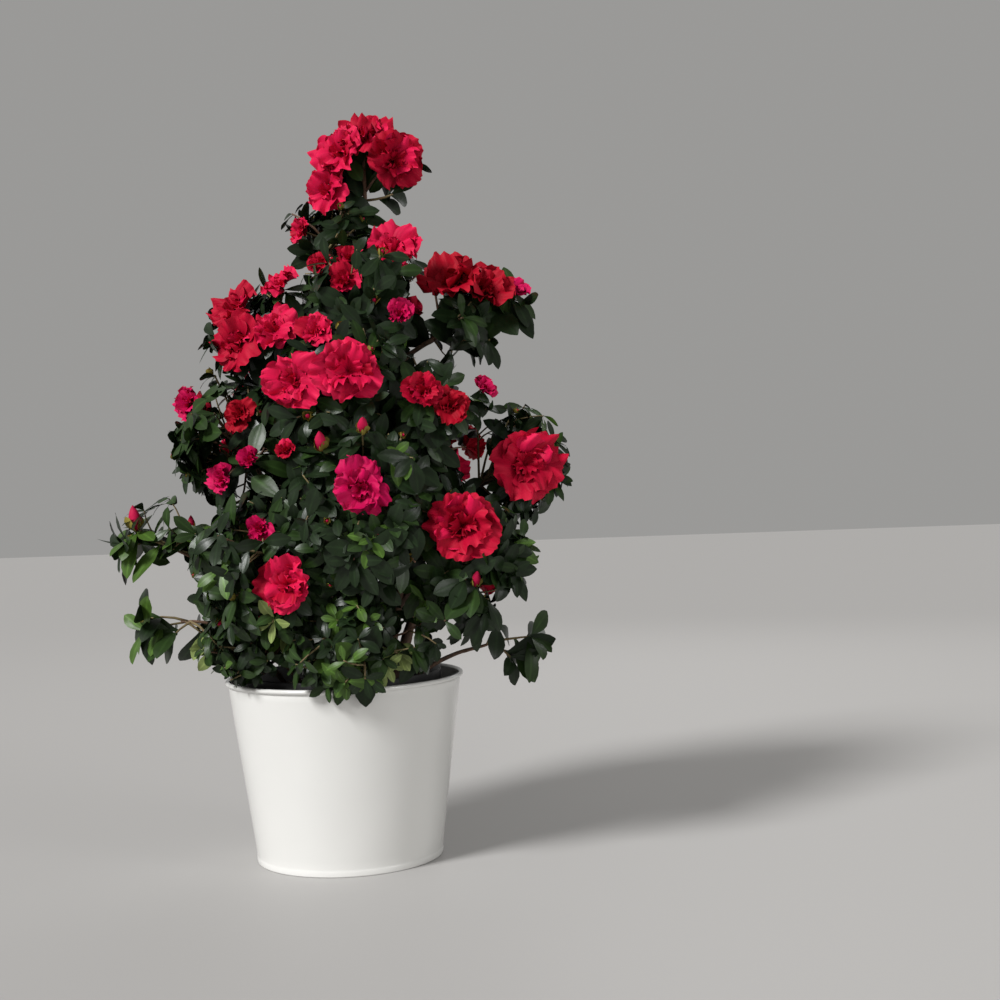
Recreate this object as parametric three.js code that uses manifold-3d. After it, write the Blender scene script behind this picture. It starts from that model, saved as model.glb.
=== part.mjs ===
// A pyramid-trained azalea in bloom, in a round painted tin planter, made of closed solids.
// Millimetres, +Z up. The origin is the centre of the planter's flat underside.
// X runs to the viewer's right, and -Y points towards the viewer.
import * as THREE from "three";
import { mergeVertices } from "three/addons/utils/BufferGeometryUtils.js";
import Module from "manifold-3d";

const wasm = await Module();
wasm.setup();

// Driving dimensions of the planter, its inner pot and the compost
const PLANTER_HEIGHT = 150;
const PLANTER_BASE_RADIUS = 76;
const PLANTER_TOP_RADIUS = 96.5;
const PLANTER_WALL = 1.2;
const PLANTER_FLOOR = 2;
const BEAD_RADIUS = 1.9;
const BEAD_STEPS = 5;
const BEAD_START = -Math.PI / 3;
const BEAD_TURN = Math.PI * 1.25;
const HEM_HEIGHT = 5;
const HEM_PROUD = 0.9;
const HEM_BULGE = 0.2;
const HEM_EDGE = 0.8;
const POT_RIM_RADIUS = 80;
const POT_RIM_HEIGHT = 153;
const POT_BASE_RADIUS = 60;
const POT_WALL = 1.4;
const POT_LIP_HEIGHT = 9;
const POT_LIP_PROUD = 2;
const POT_LIP_SLOPE = 1;
const COMPOST_HEIGHT = 141;
const COMPOST_SLOPE = 4;
const COMPOST_LEVEL_SHARE = 0.88;
const ROUND_SEGMENTS = 40;

// The gap that neighbours keep, and how near a leaf may come to a limb or to its own space's edge
const SEAT_GAP = 0.3;
const SHORTEST_EDGE = 0.05;
const WELD = 0.001;
const LIMB_CLEARANCE = 0.6;
const PLANTER_CLEARANCE = 0.8;
const SPACE_MARGIN = 0.5;

// A limb leans and rises to its bend by these shares of its reach, and flares at a rooted foot
const LIMB_LEAN = 0.35;
const LIMB_RISE = 0.55;
const LIMB_ARCH = 0.12;
const FLARE_GAIN = 0.45;
const FLARE_SHARE = 1 / 16;
const TRUNK_STEPS = 12;
const STEM_STEPS = 6;
const BOUGH_STEPS = 4;
const ROOTED_SIDES = 6;
const BOUGH_SIDES = 5;

// Leaves: fewer and larger than on the plant itself, each widest at its waist
const LEAF_LENGTH = 44;
const LEAF_WIDTH = 20;
const LEAF_THICKNESS = 1.8;
const LEAF_WAIST = 0.66;
const LEAF_DROOP = 0.1;
const LEAF_HANG = 0.12;
const LEAF_SPREAD = 0.95;
const LEAF_SPREAD_RANGE = 0.35;
const LEAF_FACE_LIFT = 0.6;
const LEAF_ASIDE = new THREE.Vector3(1, 0.3, 0.2);
const LEAF_STEP = 0.06;
const LEAVES_PER_SHOOT = 3;
const LEAF_CROSSING = 3;
const LEAF_TRIES = 3;

// Leaves and flowers vary in size from this share of their own upwards
const SMALLEST_SHARE = 0.82;
const SHARE_RANGE = 0.3;

// Twigs, and the stem that carries a mass's twigs
const TWIG_ROOT_RADIUS = 1.7;
const TWIG_TIP_RADIUS = 1.1;
const TWIG_SIDES = 3;
const HUB_SIDES = 5;
const HUB_STEPS = 3;
const HUB_RUN = 8;
const HUB_SHARE = 0.25;
const FIRST_TWIG = 0.55;

// Double flowers: rings of [height, reach, ruffle] as shares of half a width, behind a domed heart
const PETALS = 5;
const BLOOM_RINGS = [
  [-0.04, 0.98, 0.1],
  [0.2, 0.62, -0.08],
];
const BLOOM_BACK = -0.66;
const BLOOM_HEART = 0.3;
const BLOOM_SEAT = 0.26;
const SEEDED_BLOOM_WIDTH = 49;
const SEEDED_BLOOM_SPIRAL = 9;
const HIDDEN_SIDE = 0.3;

// Buds
const BUD_LENGTH = 18;
const BUD_RADIUS = 6.5;
const BUD_SIDES = 5;
const BUD_BELLY = 0.1;
const BUD_SEAT = 0.3;
const BUD_WIDTH_LIMIT = 20;

// How far a mass's leaves, shoots and core reach, as shares of its half extents
const SPACE_STRETCH = 1.12;
const LOOSE_STRETCH = 1.3;
const SHOOT_REACH = 0.84;
const LOOSE_REACH = 0.7;
const CORE_REACH = 0.6;
const CORE_LUMPS = 0.16;
const DENSE_COVER = 0.4;
const PULLS = 8;
const PULL_SHARE = 0.15;
const BLOOM_PULL_SHARE = 0.08;
const MASS_LIFT = 0.25;
const FLOWER_LIFT = 0.35;

// Each mass has its own seed and its own first turn
const FIRST_SEED = 101;
const SEED_STEP = 17;
const TURN_STEP = 1.3;

// The crown leans off the planter's axis, and its heart is a cone that leaves fill between the masses
const CROWN_AXIS = 26;
const HEART_AXIS = [24, -4];
const HEART = [
  [150, 70],
  [230, 92],
  [330, 100],
  [420, 66],
  [500, 30],
];

const GOLDEN_ANGLE = Math.PI * (3 - Math.sqrt(5));
const UP = new THREE.Vector3(0, 0, 1);

// The limbs. Each grows from the compost, or from a place along another limb, and ends where it enters
// the mass of the same name: [name, parent, share of the parent's length, tip, foot radius, tip radius].
const LIMBS = [
  ["trunk", [14, 4], 0, [30, 2, 536], 6.5, 2.2],
  ["left_stem", [-20, -4], 0, [-62, -14, 318], 4.6, 2.2],
  ["right_stem", [42, 6], 0, [108, -8, 296], 4.8, 2.2],
  ["front_stem", [8, -24], 0, [32, -72, 286], 4.2, 2.0],
  ["back_left_stem", [-6, 28], 0, [-38, 48, 320], 4.2, 2.0],
  ["back_right_stem", [34, 32], 0, [72, 54, 320], 4.2, 2.0],
  ["neck_bough", "trunk", 0.78, [4, -8, 494], 2.3, 1.6],
  ["upper_left_bough", "trunk", 0.5, [-38, -20, 414], 3.0, 1.8],
  ["upper_right_bough", "trunk", 0.55, [84, -14, 424], 3.0, 1.8],
  ["upper_front_bough", "trunk", 0.62, [38, -36, 436], 2.8, 1.8],
  ["upper_back_bough", "trunk", 0.58, [26, 42, 430], 2.8, 1.8],
  ["mid_front_bough", "trunk", 0.36, [14, -64, 366], 3.2, 2.0],
  ["mid_right_bough", "right_stem", 0.62, [96, -36, 346], 2.8, 1.8],
  ["lower_right_bough", "right_stem", 0.3, [92, -50, 238], 3.0, 1.8],
  ["lower_left_bough", "left_stem", 0.3, [-38, -52, 240], 3.0, 1.8],
  ["back_left_bough", "back_left_stem", 0.3, [-44, 44, 232], 2.8, 1.8],
  ["back_right_bough", "back_right_stem", 0.3, [88, 42, 230], 2.8, 1.8],
  ["left_spray_bough", "left_stem", 0.12, [-118, -22, 252], 2.4, 1.4],
  ["low_left_spray_bough", [-46, -14], 0, [-106, -26, 198], 2.2, 1.4],
  ["low_right_spray_bough", [56, -14], 0, [112, -16, 170], 2.2, 1.4],
  ["left_skirt_bough", [-30, -34], 0, [-44, -50, 166], 2.2, 1.5],
  ["front_skirt_bough", [20, -46], 0, [22, -70, 172], 2.2, 1.5],
];

// The masses: [name, limb, centre, half extents, shoots, dense core or not, seeded flowers at the back].
const MASSES = [
  ["crown_top", "trunk", [30, 0, 578], [46, 42, 43], 0, false, 0],
  ["neck", "neck_bough", [-4, -8, 516], [36, 34, 34], 5, true, 0],
  ["upper_left", "upper_left_bough", [-54, -26, 432], [52, 52, 50], 5, true, 0],
  ["upper_right", "upper_right_bough", [104, -18, 444], [58, 44, 44], 0, false, 0],
  ["upper_front", "upper_front_bough", [36, -54, 464], [52, 48, 48], 6, true, 0],
  ["upper_back", "upper_back_bough", [26, 56, 456], [64, 54, 58], 6, true, 3],
  ["mid_front", "mid_front_bough", [10, -86, 386], [64, 52, 54], 6, true, 0],
  ["mid_left", "left_stem", [-78, -24, 344], [52, 62, 62], 7, true, 1],
  ["mid_right", "mid_right_bough", [90, -60, 366], [48, 52, 48], 6, true, 0],
  ["centre_front", "front_stem", [34, -94, 282], [60, 52, 74], 8, true, 0],
  ["right_side", "right_stem", [136, -16, 318], [54, 60, 48], 6, true, 1],
  ["lower_right", "lower_right_bough", [100, -68, 240], [58, 60, 60], 7, true, 0],
  ["lower_left", "lower_left_bough", [-48, -76, 246], [62, 60, 62], 7, true, 0],
  ["back_left", "back_left_stem", [-54, 64, 352], [66, 62, 66], 7, true, 3],
  ["back_right", "back_right_stem", [76, 66, 342], [60, 60, 58], 7, true, 3],
  ["low_back_left", "back_left_bough", [-50, 56, 236], [60, 68, 62], 7, true, 1],
  ["low_back_right", "back_right_bough", [92, 58, 236], [58, 68, 62], 7, true, 2],
  ["left_skirt", "left_skirt_bough", [-62, -52, 188], [48, 50, 36], 6, true, 0],
  ["left_spray", "left_spray_bough", [-142, -24, 264], [52, 38, 38], 0, false, 0],
  ["low_left_spray", "low_left_spray_bough", [-134, -28, 200], [52, 38, 34], 0, false, 0],
  ["low_right_spray", "low_right_spray_bough", [136, -18, 180], [44, 42, 36], 0, false, 0],
  ["front_skirt", "front_skirt_bough", [22, -78, 184], [64, 48, 42], 0, false, 0],
];

// Where the shoots of the open masses end: [mass, x, y, z].
const SPRAY_TIPS = [
  ["upper_right", 84, -34, 444],
  ["upper_right", 116, -36, 436],
  ["upper_right", 142, -28, 438],
  ["upper_right", 130, -14, 422],
  ["upper_right", 76, -4, 432],
  ["upper_right", 148, -10, 456],
  ["crown_top", 44, -22, 552],
  ["crown_top", 66, 4, 556],
  ["crown_top", -14, -16, 564],
  ["crown_top", 26, 30, 572],
  ["crown_top", 60, 22, 582],
  ["crown_top", -4, 16, 560],
  ["left_spray", -161, -28, 272],
  ["left_spray", -166, -22, 262],
  ["left_spray", -117, -26, 271],
  ["left_spray", -106, -20, 250],
  ["low_left_spray", -155, -28, 200],
  ["low_left_spray", -112, -26, 190],
  ["low_left_spray", -94, -34, 174],
  ["low_right_spray", 130, -20, 190],
  ["low_right_spray", 156, -20, 178],
  ["low_right_spray", 150, -6, 196],
  ["low_right_spray", 138, -24, 162],
  ["front_skirt", 44, -102, 168],
  ["front_skirt", 14, -98, 176],
  ["front_skirt", -4, -104, 167],
  ["front_skirt", -30, -98, 165],
  ["front_skirt", 58, -76, 186],
  ["front_skirt", 2, -84, 196],
];

// The larger open flowers on the side that faces -Y, two at the top's back, and one fat bud:
// [mass, x, y, z, width]. A width under the bud limit is a bud.
const BLOOMS = [
  ["crown_top", 8, -20, 584, 54],
  ["crown_top", 34, -12, 601, 50],
  ["crown_top", 58, -20, 573, 52],
  ["crown_top", -3, -14, 552, 42],
  ["crown_top", 48, 18, 594, 46],
  ["crown_top", 12, 22, 582, 50],
  ["neck", -25, -15, 518, 26],
  ["upper_front", 56, -62, 494, 46],
  ["upper_front", 18, -76, 468, 30],
  ["upper_left", -80, -30, 454, 46],
  ["upper_left", -74, -54, 424, 52],
  ["upper_left", -40, -66, 432, 44],
  ["upper_right", 100, -42, 468, 58],
  ["upper_right", 128, -36, 460, 46],
  ["mid_front", -22, -114, 386, 54],
  ["mid_front", 24, -118, 393, 56],
  ["mid_left", -113, -28, 377, 34],
  ["mid_right", 96, -94, 368, 36],
  ["centre_front", 31, -130, 304, 48],
  ["right_side", 156, -54, 322, 62],
  ["lower_right", 106, -110, 270, 58],
  ["lower_left", -30, -116, 236, 52],
  ["left_spray", -163, -28, 286, 18],
];

// A repeatable stream of numbers from 0 to 1
function seeded(seed) {
  let state = seed >>> 0;
  return () => {
    state = (state + 0x6d2b79f5) >>> 0;
    let mixed = Math.imul(state ^ (state >>> 15), state | 1);
    mixed ^= mixed + Math.imul(mixed ^ (mixed >>> 7), mixed | 61);
    return ((mixed ^ (mixed >>> 14)) >>> 0) / 4294967296;
  };
}

// A closed geometry as a manifold solid
function solidOf(geometry) {
  const merged = mergeVertices(withoutLooks(geometry), WELD);
  const source = merged.index.array;
  const faces = [];
  for (let i = 0; i < source.length; i += 3) {
    const [a, b, c] = source.slice(i, i + 3);
    if (a !== b && b !== c && c !== a) faces.push(a, b, c);
  }
  return new wasm.Manifold(
    new wasm.Mesh({
      numProp: 3,
      vertProperties: Float32Array.from(merged.attributes.position.array),
      triVerts: Uint32Array.from(faces),
    }),
  );
}

// A manifold solid as a geometry
function geometryOf(solid) {
  const mesh = solid.getMesh();
  const geometry = new THREE.BufferGeometry();
  const position = Float32Array.from(mesh.vertProperties);
  geometry.setAttribute("position", new THREE.BufferAttribute(position, 3));
  geometry.setIndex(Array.from(mesh.triVerts));
  geometry.computeVertexNormals();
  return geometry;
}

// Joins many solids pair by pair
function joined(solids) {
  let row = solids;
  while (row.length > 1) {
    const next = [];
    for (let i = 0; i < row.length; i += 2) {
      next.push(i + 1 < row.length ? row[i].add(row[i + 1]) : row[i]);
    }
    row = next;
  }
  return row[0];
}

// The largest body of a solid, so that scraps are dropped and sealed hollows are filled
function largest(solid) {
  return solid.decompose().reduce((a, b) => (b.volume() > a.volume() ? b : a));
}

// A solid whose corners that nearly touch are drawn together, with the faces that this flattens dropped
function settled(solid) {
  const mesh = solid.getMesh();
  const corner = (i) => new THREE.Vector3(...mesh.vertProperties.slice(3 * i, 3 * i + 3));
  const count = mesh.vertProperties.length / 3;
  const owner = Array.from({ length: count }, (_, i) => i);
  const ownerOf = (i) => {
    while (owner[i] !== i) i = owner[i];
    return i;
  };
  for (let i = 0; i < mesh.triVerts.length; i += 3) {
    const face = mesh.triVerts.slice(i, i + 3);
    for (let side = 0; side < 3; side++) {
      const a = ownerOf(face[side]);
      const b = ownerOf(face[(side + 1) % 3]);
      if (a !== b && corner(a).distanceTo(corner(b)) < SHORTEST_EDGE) owner[b] = a;
    }
  }
  const kept = new Map();
  for (let i = 0; i < mesh.triVerts.length; i += 3) {
    const face = Array.from(mesh.triVerts.slice(i, i + 3), ownerOf);
    if (new Set(face).size < 3) continue;
    const key = [...face].sort((a, b) => a - b).join();
    if (kept.has(key)) kept.delete(key);
    else kept.set(key, face);
  }
  return new wasm.Manifold(
    new wasm.Mesh({
      numProp: 3,
      vertProperties: mesh.vertProperties,
      triVerts: Uint32Array.from([...kept.values()].flat()),
    }),
  );
}

// A shape turned about Z from [radius, height] points
function turned(profile, segments = ROUND_SEGMENTS) {
  const points = profile.map(([radius, height]) => new THREE.Vector2(radius, height));
  return new THREE.LatheGeometry(points, segments).rotateX(Math.PI / 2);
}

// The planter's outer radius at a height
function planterRadius(height) {
  const share = height / PLANTER_HEIGHT;
  return PLANTER_BASE_RADIUS + (PLANTER_TOP_RADIUS - PLANTER_BASE_RADIUS) * share;
}

// The tin planter: a tapering wall with a rolled hem at the foot and a rolled bead at the rim
function planterProfile() {
  const beadHeight = PLANTER_HEIGHT - BEAD_RADIUS;
  const hem = PLANTER_BASE_RADIUS + HEM_PROUD;
  const profile = [
    [0, 0],
    [hem - HEM_EDGE, 0],
    [hem, HEM_EDGE],
    [hem + HEM_BULGE, HEM_HEIGHT - HEM_EDGE],
    [planterRadius(HEM_HEIGHT), HEM_HEIGHT],
    [planterRadius(beadHeight - BEAD_RADIUS), beadHeight - BEAD_RADIUS],
  ];
  for (let i = 0; i < BEAD_STEPS; i++) {
    const angle = BEAD_START + (i / (BEAD_STEPS - 1)) * BEAD_TURN;
    profile.push([
      PLANTER_TOP_RADIUS + BEAD_RADIUS * Math.cos(angle),
      beadHeight + BEAD_RADIUS * Math.sin(angle),
    ]);
  }
  profile.push([planterRadius(PLANTER_FLOOR) - PLANTER_WALL, PLANTER_FLOOR], [0, PLANTER_FLOOR]);
  return profile;
}

// The inner pot's outer radius at a height
function potRadius(height) {
  const share = (height - PLANTER_FLOOR) / (POT_RIM_HEIGHT - PLANTER_FLOOR);
  return POT_BASE_RADIUS + (POT_RIM_RADIUS - POT_LIP_PROUD - POT_BASE_RADIUS) * share;
}

// The black inner pot, with a turned-out lip
function potProfile() {
  const foot = PLANTER_FLOOR + SEAT_GAP;
  const lip = POT_RIM_HEIGHT - POT_LIP_HEIGHT;
  return [
    [0, foot],
    [potRadius(foot), foot],
    [potRadius(lip), lip],
    [POT_RIM_RADIUS, lip + POT_LIP_SLOPE],
    [POT_RIM_RADIUS, POT_RIM_HEIGHT],
    [potRadius(POT_RIM_HEIGHT) - POT_WALL, POT_RIM_HEIGHT],
    [potRadius(foot) - POT_WALL, foot + POT_WALL],
    [0, foot + POT_WALL],
  ];
}

// The compost that fills the inner pot, level on top and sloping down at its edge
function compostProfile() {
  const foot = PLANTER_FLOOR + SEAT_GAP + POT_WALL + SEAT_GAP;
  const side = POT_WALL + 2 * SEAT_GAP;
  const shoulder = COMPOST_HEIGHT - COMPOST_SLOPE;
  const edge = potRadius(shoulder) - side;
  return [
    [0, foot],
    [potRadius(foot) - side, foot],
    [edge, shoulder],
    [edge * COMPOST_LEVEL_SHARE, COMPOST_HEIGHT],
    [0, COMPOST_HEIGHT],
  ];
}

// A copy that has only its positions left
function withoutLooks(geometry) {
  const bare = geometry.clone();
  bare.deleteAttribute("normal");
  bare.deleteAttribute("uv");
  return bare;
}

// A closed tapering tube along a curve, with flat ends, run on past its tip where asked
function taperedTube(curve, radiusAt, sides, steps, overrun = 0) {
  const positions = [];
  const faces = [];
  const { normals, binormals } = curve.computeFrenetFrames(steps, false);
  for (let i = 0; i <= steps; i++) {
    const centre = curve.getPoint(i / steps);
    if (i === steps) centre.addScaledVector(curve.getTangent(1), overrun);
    const radius = radiusAt(i / steps);
    for (let j = 0; j < sides; j++) {
      const angle = (j / sides) * 2 * Math.PI;
      const point = centre
        .clone()
        .addScaledVector(normals[i], radius * Math.cos(angle))
        .addScaledVector(binormals[i], radius * Math.sin(angle));
      positions.push(point.x, point.y, point.z);
    }
  }
  for (let i = 0; i < steps; i++) {
    for (let j = 0; j < sides; j++) {
      const a = i * sides + j;
      const b = i * sides + ((j + 1) % sides);
      faces.push(a, b, a + sides, b, b + sides, a + sides);
    }
  }
  const last = steps * sides;
  for (let j = 1; j < sides - 1; j++) {
    faces.push(0, j + 1, j);
    faces.push(last, last + j, last + j + 1);
  }
  const geometry = new THREE.BufferGeometry();
  const place = new THREE.BufferAttribute(Float32Array.from(positions), 3);
  geometry.setAttribute("position", place);
  geometry.setIndex(faces);
  return geometry;
}

// A limb's centre line: it leaves its foot upwards, then turns towards its tip
function limbCurve(start, tip) {
  const reach = tip.clone().sub(start);
  const flat = Math.hypot(reach.x, reach.y);
  const bend = start.clone().add(
    new THREE.Vector3(
      reach.x * LIMB_LEAN,
      reach.y * LIMB_LEAN,
      reach.z * LIMB_RISE + flat * LIMB_ARCH,
    ),
  );
  return new THREE.QuadraticBezierCurve3(start, bend, tip);
}

// A limb's radius at a share of its length, with a flare at a foot that stands in the compost
function limbRadius(foot, tip, rooted) {
  return (share) => {
    const flare = rooted ? FLARE_GAIN * foot * Math.max(0, 1 - share / FLARE_SHARE) : 0;
    return foot + (tip - foot) * share + flare;
  };
}

// Every limb as {name, curve, radius, solid, clear, grown}, each cut clear of the limb that carries it
function makeLimbs() {
  const limbs = {};
  for (const [name, parent, share, tip, footRadius, tipRadius] of LIMBS) {
    const rooted = Array.isArray(parent);
    const carrier = rooted ? null : limbs[parent];
    const start = rooted
      ? new THREE.Vector3(parent[0], parent[1], COMPOST_HEIGHT + SEAT_GAP)
      : carrier.curve.getPoint(share);
    const curve = limbCurve(start, new THREE.Vector3(...tip));
    const radius = limbRadius(footRadius, tipRadius, rooted);
    const steps = name === "trunk" ? TRUNK_STEPS : rooted ? STEM_STEPS : BOUGH_STEPS;
    const sides = rooted ? ROOTED_SIDES : BOUGH_SIDES;
    const tube = (extra, overrun) => {
      return solidOf(taperedTube(curve, (along) => radius(along) + extra, sides, steps, overrun));
    };
    let solid = tube(0, 0);
    if (carrier) solid = largest(solid.subtract(carrier.clear));
    if (rooted) solid = largest(solid.trimByPlane([0, 0, 1], COMPOST_HEIGHT + SEAT_GAP));
    const clear = tube(SEAT_GAP, 0);
    const grown = tube(LIMB_CLEARANCE, LIMB_CLEARANCE);
    limbs[name] = { name, curve, radius, solid, clear, grown };
  }
  return limbs;
}

// One leaf: a thin eight-faced blade, widest at its waist and drooping at its tip, rooted at a place
function leafGeometry(root, along, face, length) {
  const blade = withoutLooks(new THREE.OctahedronGeometry(1));
  const place = blade.attributes.position;
  const halfWidth = (length * LEAF_WIDTH) / LEAF_LENGTH / 2;
  for (let i = 0; i < place.count; i++) {
    const [x, y, z] = [place.getX(i), place.getY(i), place.getZ(i)];
    const isTip = x > 0.5;
    const isRoot = x < -0.5;
    const run = isTip ? 1 : isRoot ? 0 : LEAF_WAIST;
    const droop = isTip ? LEAF_DROOP * length : 0;
    place.setXYZ(i, run * length, y * halfWidth, (z * LEAF_THICKNESS) / 2 - droop);
  }
  const side = new THREE.Vector3().crossVectors(face, along).normalize();
  const normal = new THREE.Vector3().crossVectors(along, side).normalize();
  const turn = new THREE.Matrix4().makeBasis(along, side, normal).setPosition(root);
  return blade.applyMatrix4(turn);
}

// A double flower: a funnel that opens into a ruffled rim round a domed heart
function bloomGeometry(centre, facing, width) {
  const sectors = PETALS * 2;
  const half = width / 2;
  const positions = [];
  BLOOM_RINGS.forEach(([rise, reach, wave]) => {
    for (let j = 0; j < sectors; j++) {
      const angle = (j / sectors) * 2 * Math.PI;
      const ruffle = j % 2 ? -wave : wave;
      const radius = half * reach * (1 + ruffle);
      positions.push(radius * Math.cos(angle), radius * Math.sin(angle), half * (rise + ruffle));
    }
  });
  const back = positions.length / 3;
  positions.push(0, 0, half * BLOOM_BACK);
  const heart = back + 1;
  positions.push(0, 0, half * BLOOM_HEART);
  const faces = [];
  for (let j = 0; j < sectors; j++) {
    const k = (j + 1) % sectors;
    faces.push(back, k, j);
    for (let ring = 0; ring < BLOOM_RINGS.length - 1; ring++) {
      const a = ring * sectors;
      const b = a + sectors;
      faces.push(a + j, a + k, b + j, a + k, b + k, b + j);
    }
    const top = (BLOOM_RINGS.length - 1) * sectors;
    faces.push(top + j, top + k, heart);
  }
  return placedAlong(positions, faces, centre, facing);
}

// A bud: a pointed spindle
function budGeometry(centre, facing) {
  const positions = [0, 0, -BUD_LENGTH / 2];
  for (let j = 0; j < BUD_SIDES; j++) {
    const angle = (j / BUD_SIDES) * 2 * Math.PI;
    positions.push(BUD_RADIUS * Math.cos(angle), BUD_RADIUS * Math.sin(angle), BUD_LENGTH * BUD_BELLY);
  }
  positions.push(0, 0, BUD_LENGTH / 2);
  const faces = [];
  for (let j = 0; j < BUD_SIDES; j++) {
    const a = 1 + j;
    const b = 1 + ((j + 1) % BUD_SIDES);
    faces.push(0, b, a, a, b, BUD_SIDES + 1);
  }
  return placedAlong(positions, faces, centre, facing);
}

// A geometry from points and faces whose own Z is turned to face a direction
function placedAlong(positions, faces, centre, facing) {
  const geometry = new THREE.BufferGeometry();
  const place = new THREE.BufferAttribute(Float32Array.from(positions), 3);
  geometry.setAttribute("position", place);
  geometry.setIndex(faces);
  const turn = new THREE.Quaternion().setFromUnitVectors(UP, facing);
  const one = new THREE.Vector3(1, 1, 1);
  return geometry.applyMatrix4(new THREE.Matrix4().compose(centre, turn, one));
}

// Half the width of a mass along a direction
function reachAlong(half, direction) {
  const x = direction.x / half.x;
  const y = direction.y / half.y;
  const z = direction.z / half.z;
  return 1 / Math.sqrt(x * x + y * y + z * z);
}

// Whether a point is in the crown's heart
function inHeart(point) {
  const above = HEART.findIndex(([height]) => height > point.z);
  if (above < 1) return false;
  const [[low, wide], [high, narrow]] = [HEART[above - 1], HEART[above]];
  const radius = wide + ((narrow - wide) * (point.z - low)) / (high - low);
  return Math.hypot(point.x - HEART_AXIS[0], point.y - HEART_AXIS[1]) < radius;
}

// Tests whether points lie in a mass's own space: its ellipsoid or the crown's heart, on its side of
// each neighbour's plane
function spaceOf(mass, masses) {
  const stretch = mass.dense ? SPACE_STRETCH : LOOSE_STRETCH;
  const planes = masses
    .filter((other) => other !== mass)
    .map((other) => {
      const between = other.centre.clone().sub(mass.centre);
      const distance = between.length();
      const normal = between.divideScalar(distance);
      const own = reachAlong(mass.half, normal);
      const theirs = reachAlong(other.half, normal);
      return { normal, limit: (distance * own) / (own + theirs) - SPACE_MARGIN };
    });
  return (point) => {
    const offset = point.clone().sub(mass.centre);
    const near = offset.clone().divide(mass.half).length() < stretch || inHeart(point);
    return near && planes.every((plane) => offset.dot(plane.normal) < plane.limit);
  };
}

// Whether every corner of a geometry lies in a space
function fits(geometry, inSpace) {
  const place = geometry.attributes.position;
  const point = new THREE.Vector3();
  for (let i = 0; i < place.count; i++) {
    if (!inSpace(point.fromBufferAttribute(place, i))) return false;
  }
  return true;
}

// The direction in which the crown's surface faces at a point, leaning up
function outward(point, lift) {
  const axis = new THREE.Vector3(CROWN_AXIS, 0, point.z);
  return point.clone().sub(axis).normalize().addScaledVector(UP, lift).normalize();
}

// Directions spread evenly round a mass by the golden angle, from the side that faces outwards
function spiralAims(mass, count) {
  const axis = outward(mass.centre, MASS_LIFT);
  const across = new THREE.Vector3(-axis.y, axis.x, 0.2).cross(axis).normalize();
  const cover = mass.dense ? DENSE_COVER : 1;
  return Array.from({ length: count }, (_, i) => {
    const rise = 1 - ((1 + cover) * (i + 0.5)) / count;
    const spoke = across.clone().applyAxisAngle(axis, i * GOLDEN_ANGLE + mass.turn);
    return axis.clone().multiplyScalar(rise).addScaledVector(spoke, Math.sqrt(1 - rise * rise));
  });
}

// How large a leaf or flower grows, as a share of its own size
function sizeShare(random) {
  return SMALLEST_SHARE + SHARE_RANGE * random();
}

// The shoots of a mass as {end, width}, where a width is a flower's and 0 is none
function shootsOf(mass, random) {
  const shoots = [...mass.blooms, ...mass.tips].map(([, x, y, z, width = 0]) => {
    return { end: new THREE.Vector3(x, y, z), width };
  });
  const reach = mass.dense ? SHOOT_REACH : LOOSE_REACH;
  const add = (aim, width) => {
    const end = mass.centre.clone().addScaledVector(aim, reachAlong(mass.half, aim) * reach);
    shoots.push({ end, width });
  };
  const hidden = spiralAims(mass, SEEDED_BLOOM_SPIRAL).filter((aim) => aim.y > HIDDEN_SIDE);
  hidden.slice(0, mass.seededBlooms).forEach((aim) => {
    add(aim, SEEDED_BLOOM_WIDTH * sizeShare(random));
  });
  spiralAims(mass, mass.shoots).forEach((aim) => add(aim, 0));
  return shoots;
}

// One mass of foliage: a stem on its limb's tip, twigs to its shoots, and leaves and flowers on them
function makeMass(mass, masses, limb, blocked, random) {
  const inSpace = spaceOf(mass, masses);
  const blades = [];
  const free = (geometry, keepsApart = false) => {
    if (!fits(geometry, inSpace)) return null;
    const solid = solidOf(geometry);
    if (solid.intersect(blocked).volume() > 0) return null;
    if (!keepsApart) return solid;
    if (blades.some((blade) => blade.intersect(solid).volume() > LEAF_CROSSING)) return null;
    blades.push(solid);
    return solid;
  };
  const tip = limb.curve.getPoint(1);
  const tangent = limb.curve.getTangent(1);
  const root = tip.clone().addScaledVector(tangent, SEAT_GAP);
  const bend = root.clone().addScaledVector(tangent, HUB_RUN);
  const hub = mass.centre.clone().lerp(bend, HUB_SHARE);
  const stem = new THREE.QuadraticBezierCurve3(root, bend, hub);
  const stemRadius = limb.radius(1);
  const pieces = [solidOf(taperedTube(stem, () => stemRadius, HUB_SIDES, HUB_STEPS))];
  if (mass.dense) pieces.push(coreSolid(mass, inSpace, blocked, random));
  for (const shoot of shootsOf(mass, random)) {
    pieces.push(...shootSolids(shoot, stem, mass, free, inSpace, random));
  }
  return largest(settled(largest(joined(pieces))));
}

// The leafy core of a dense mass, lumpy and cut clear of the limbs
function coreSolid(mass, inSpace, blocked, random) {
  const core = mergeVertices(withoutLooks(new THREE.IcosahedronGeometry(1, 1)), WELD);
  const place = core.attributes.position;
  const point = new THREE.Vector3();
  for (let i = 0; i < place.count; i++) {
    const share = CORE_REACH + CORE_LUMPS * random();
    point.fromBufferAttribute(place, i).multiplyScalar(share).multiply(mass.half).add(mass.centre);
    while (!inSpace(point)) point.lerp(mass.centre, PULL_SHARE);
    place.setXYZ(i, point.x, point.y, point.z);
  }
  return largest(solidOf(core).subtract(blocked));
}

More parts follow.
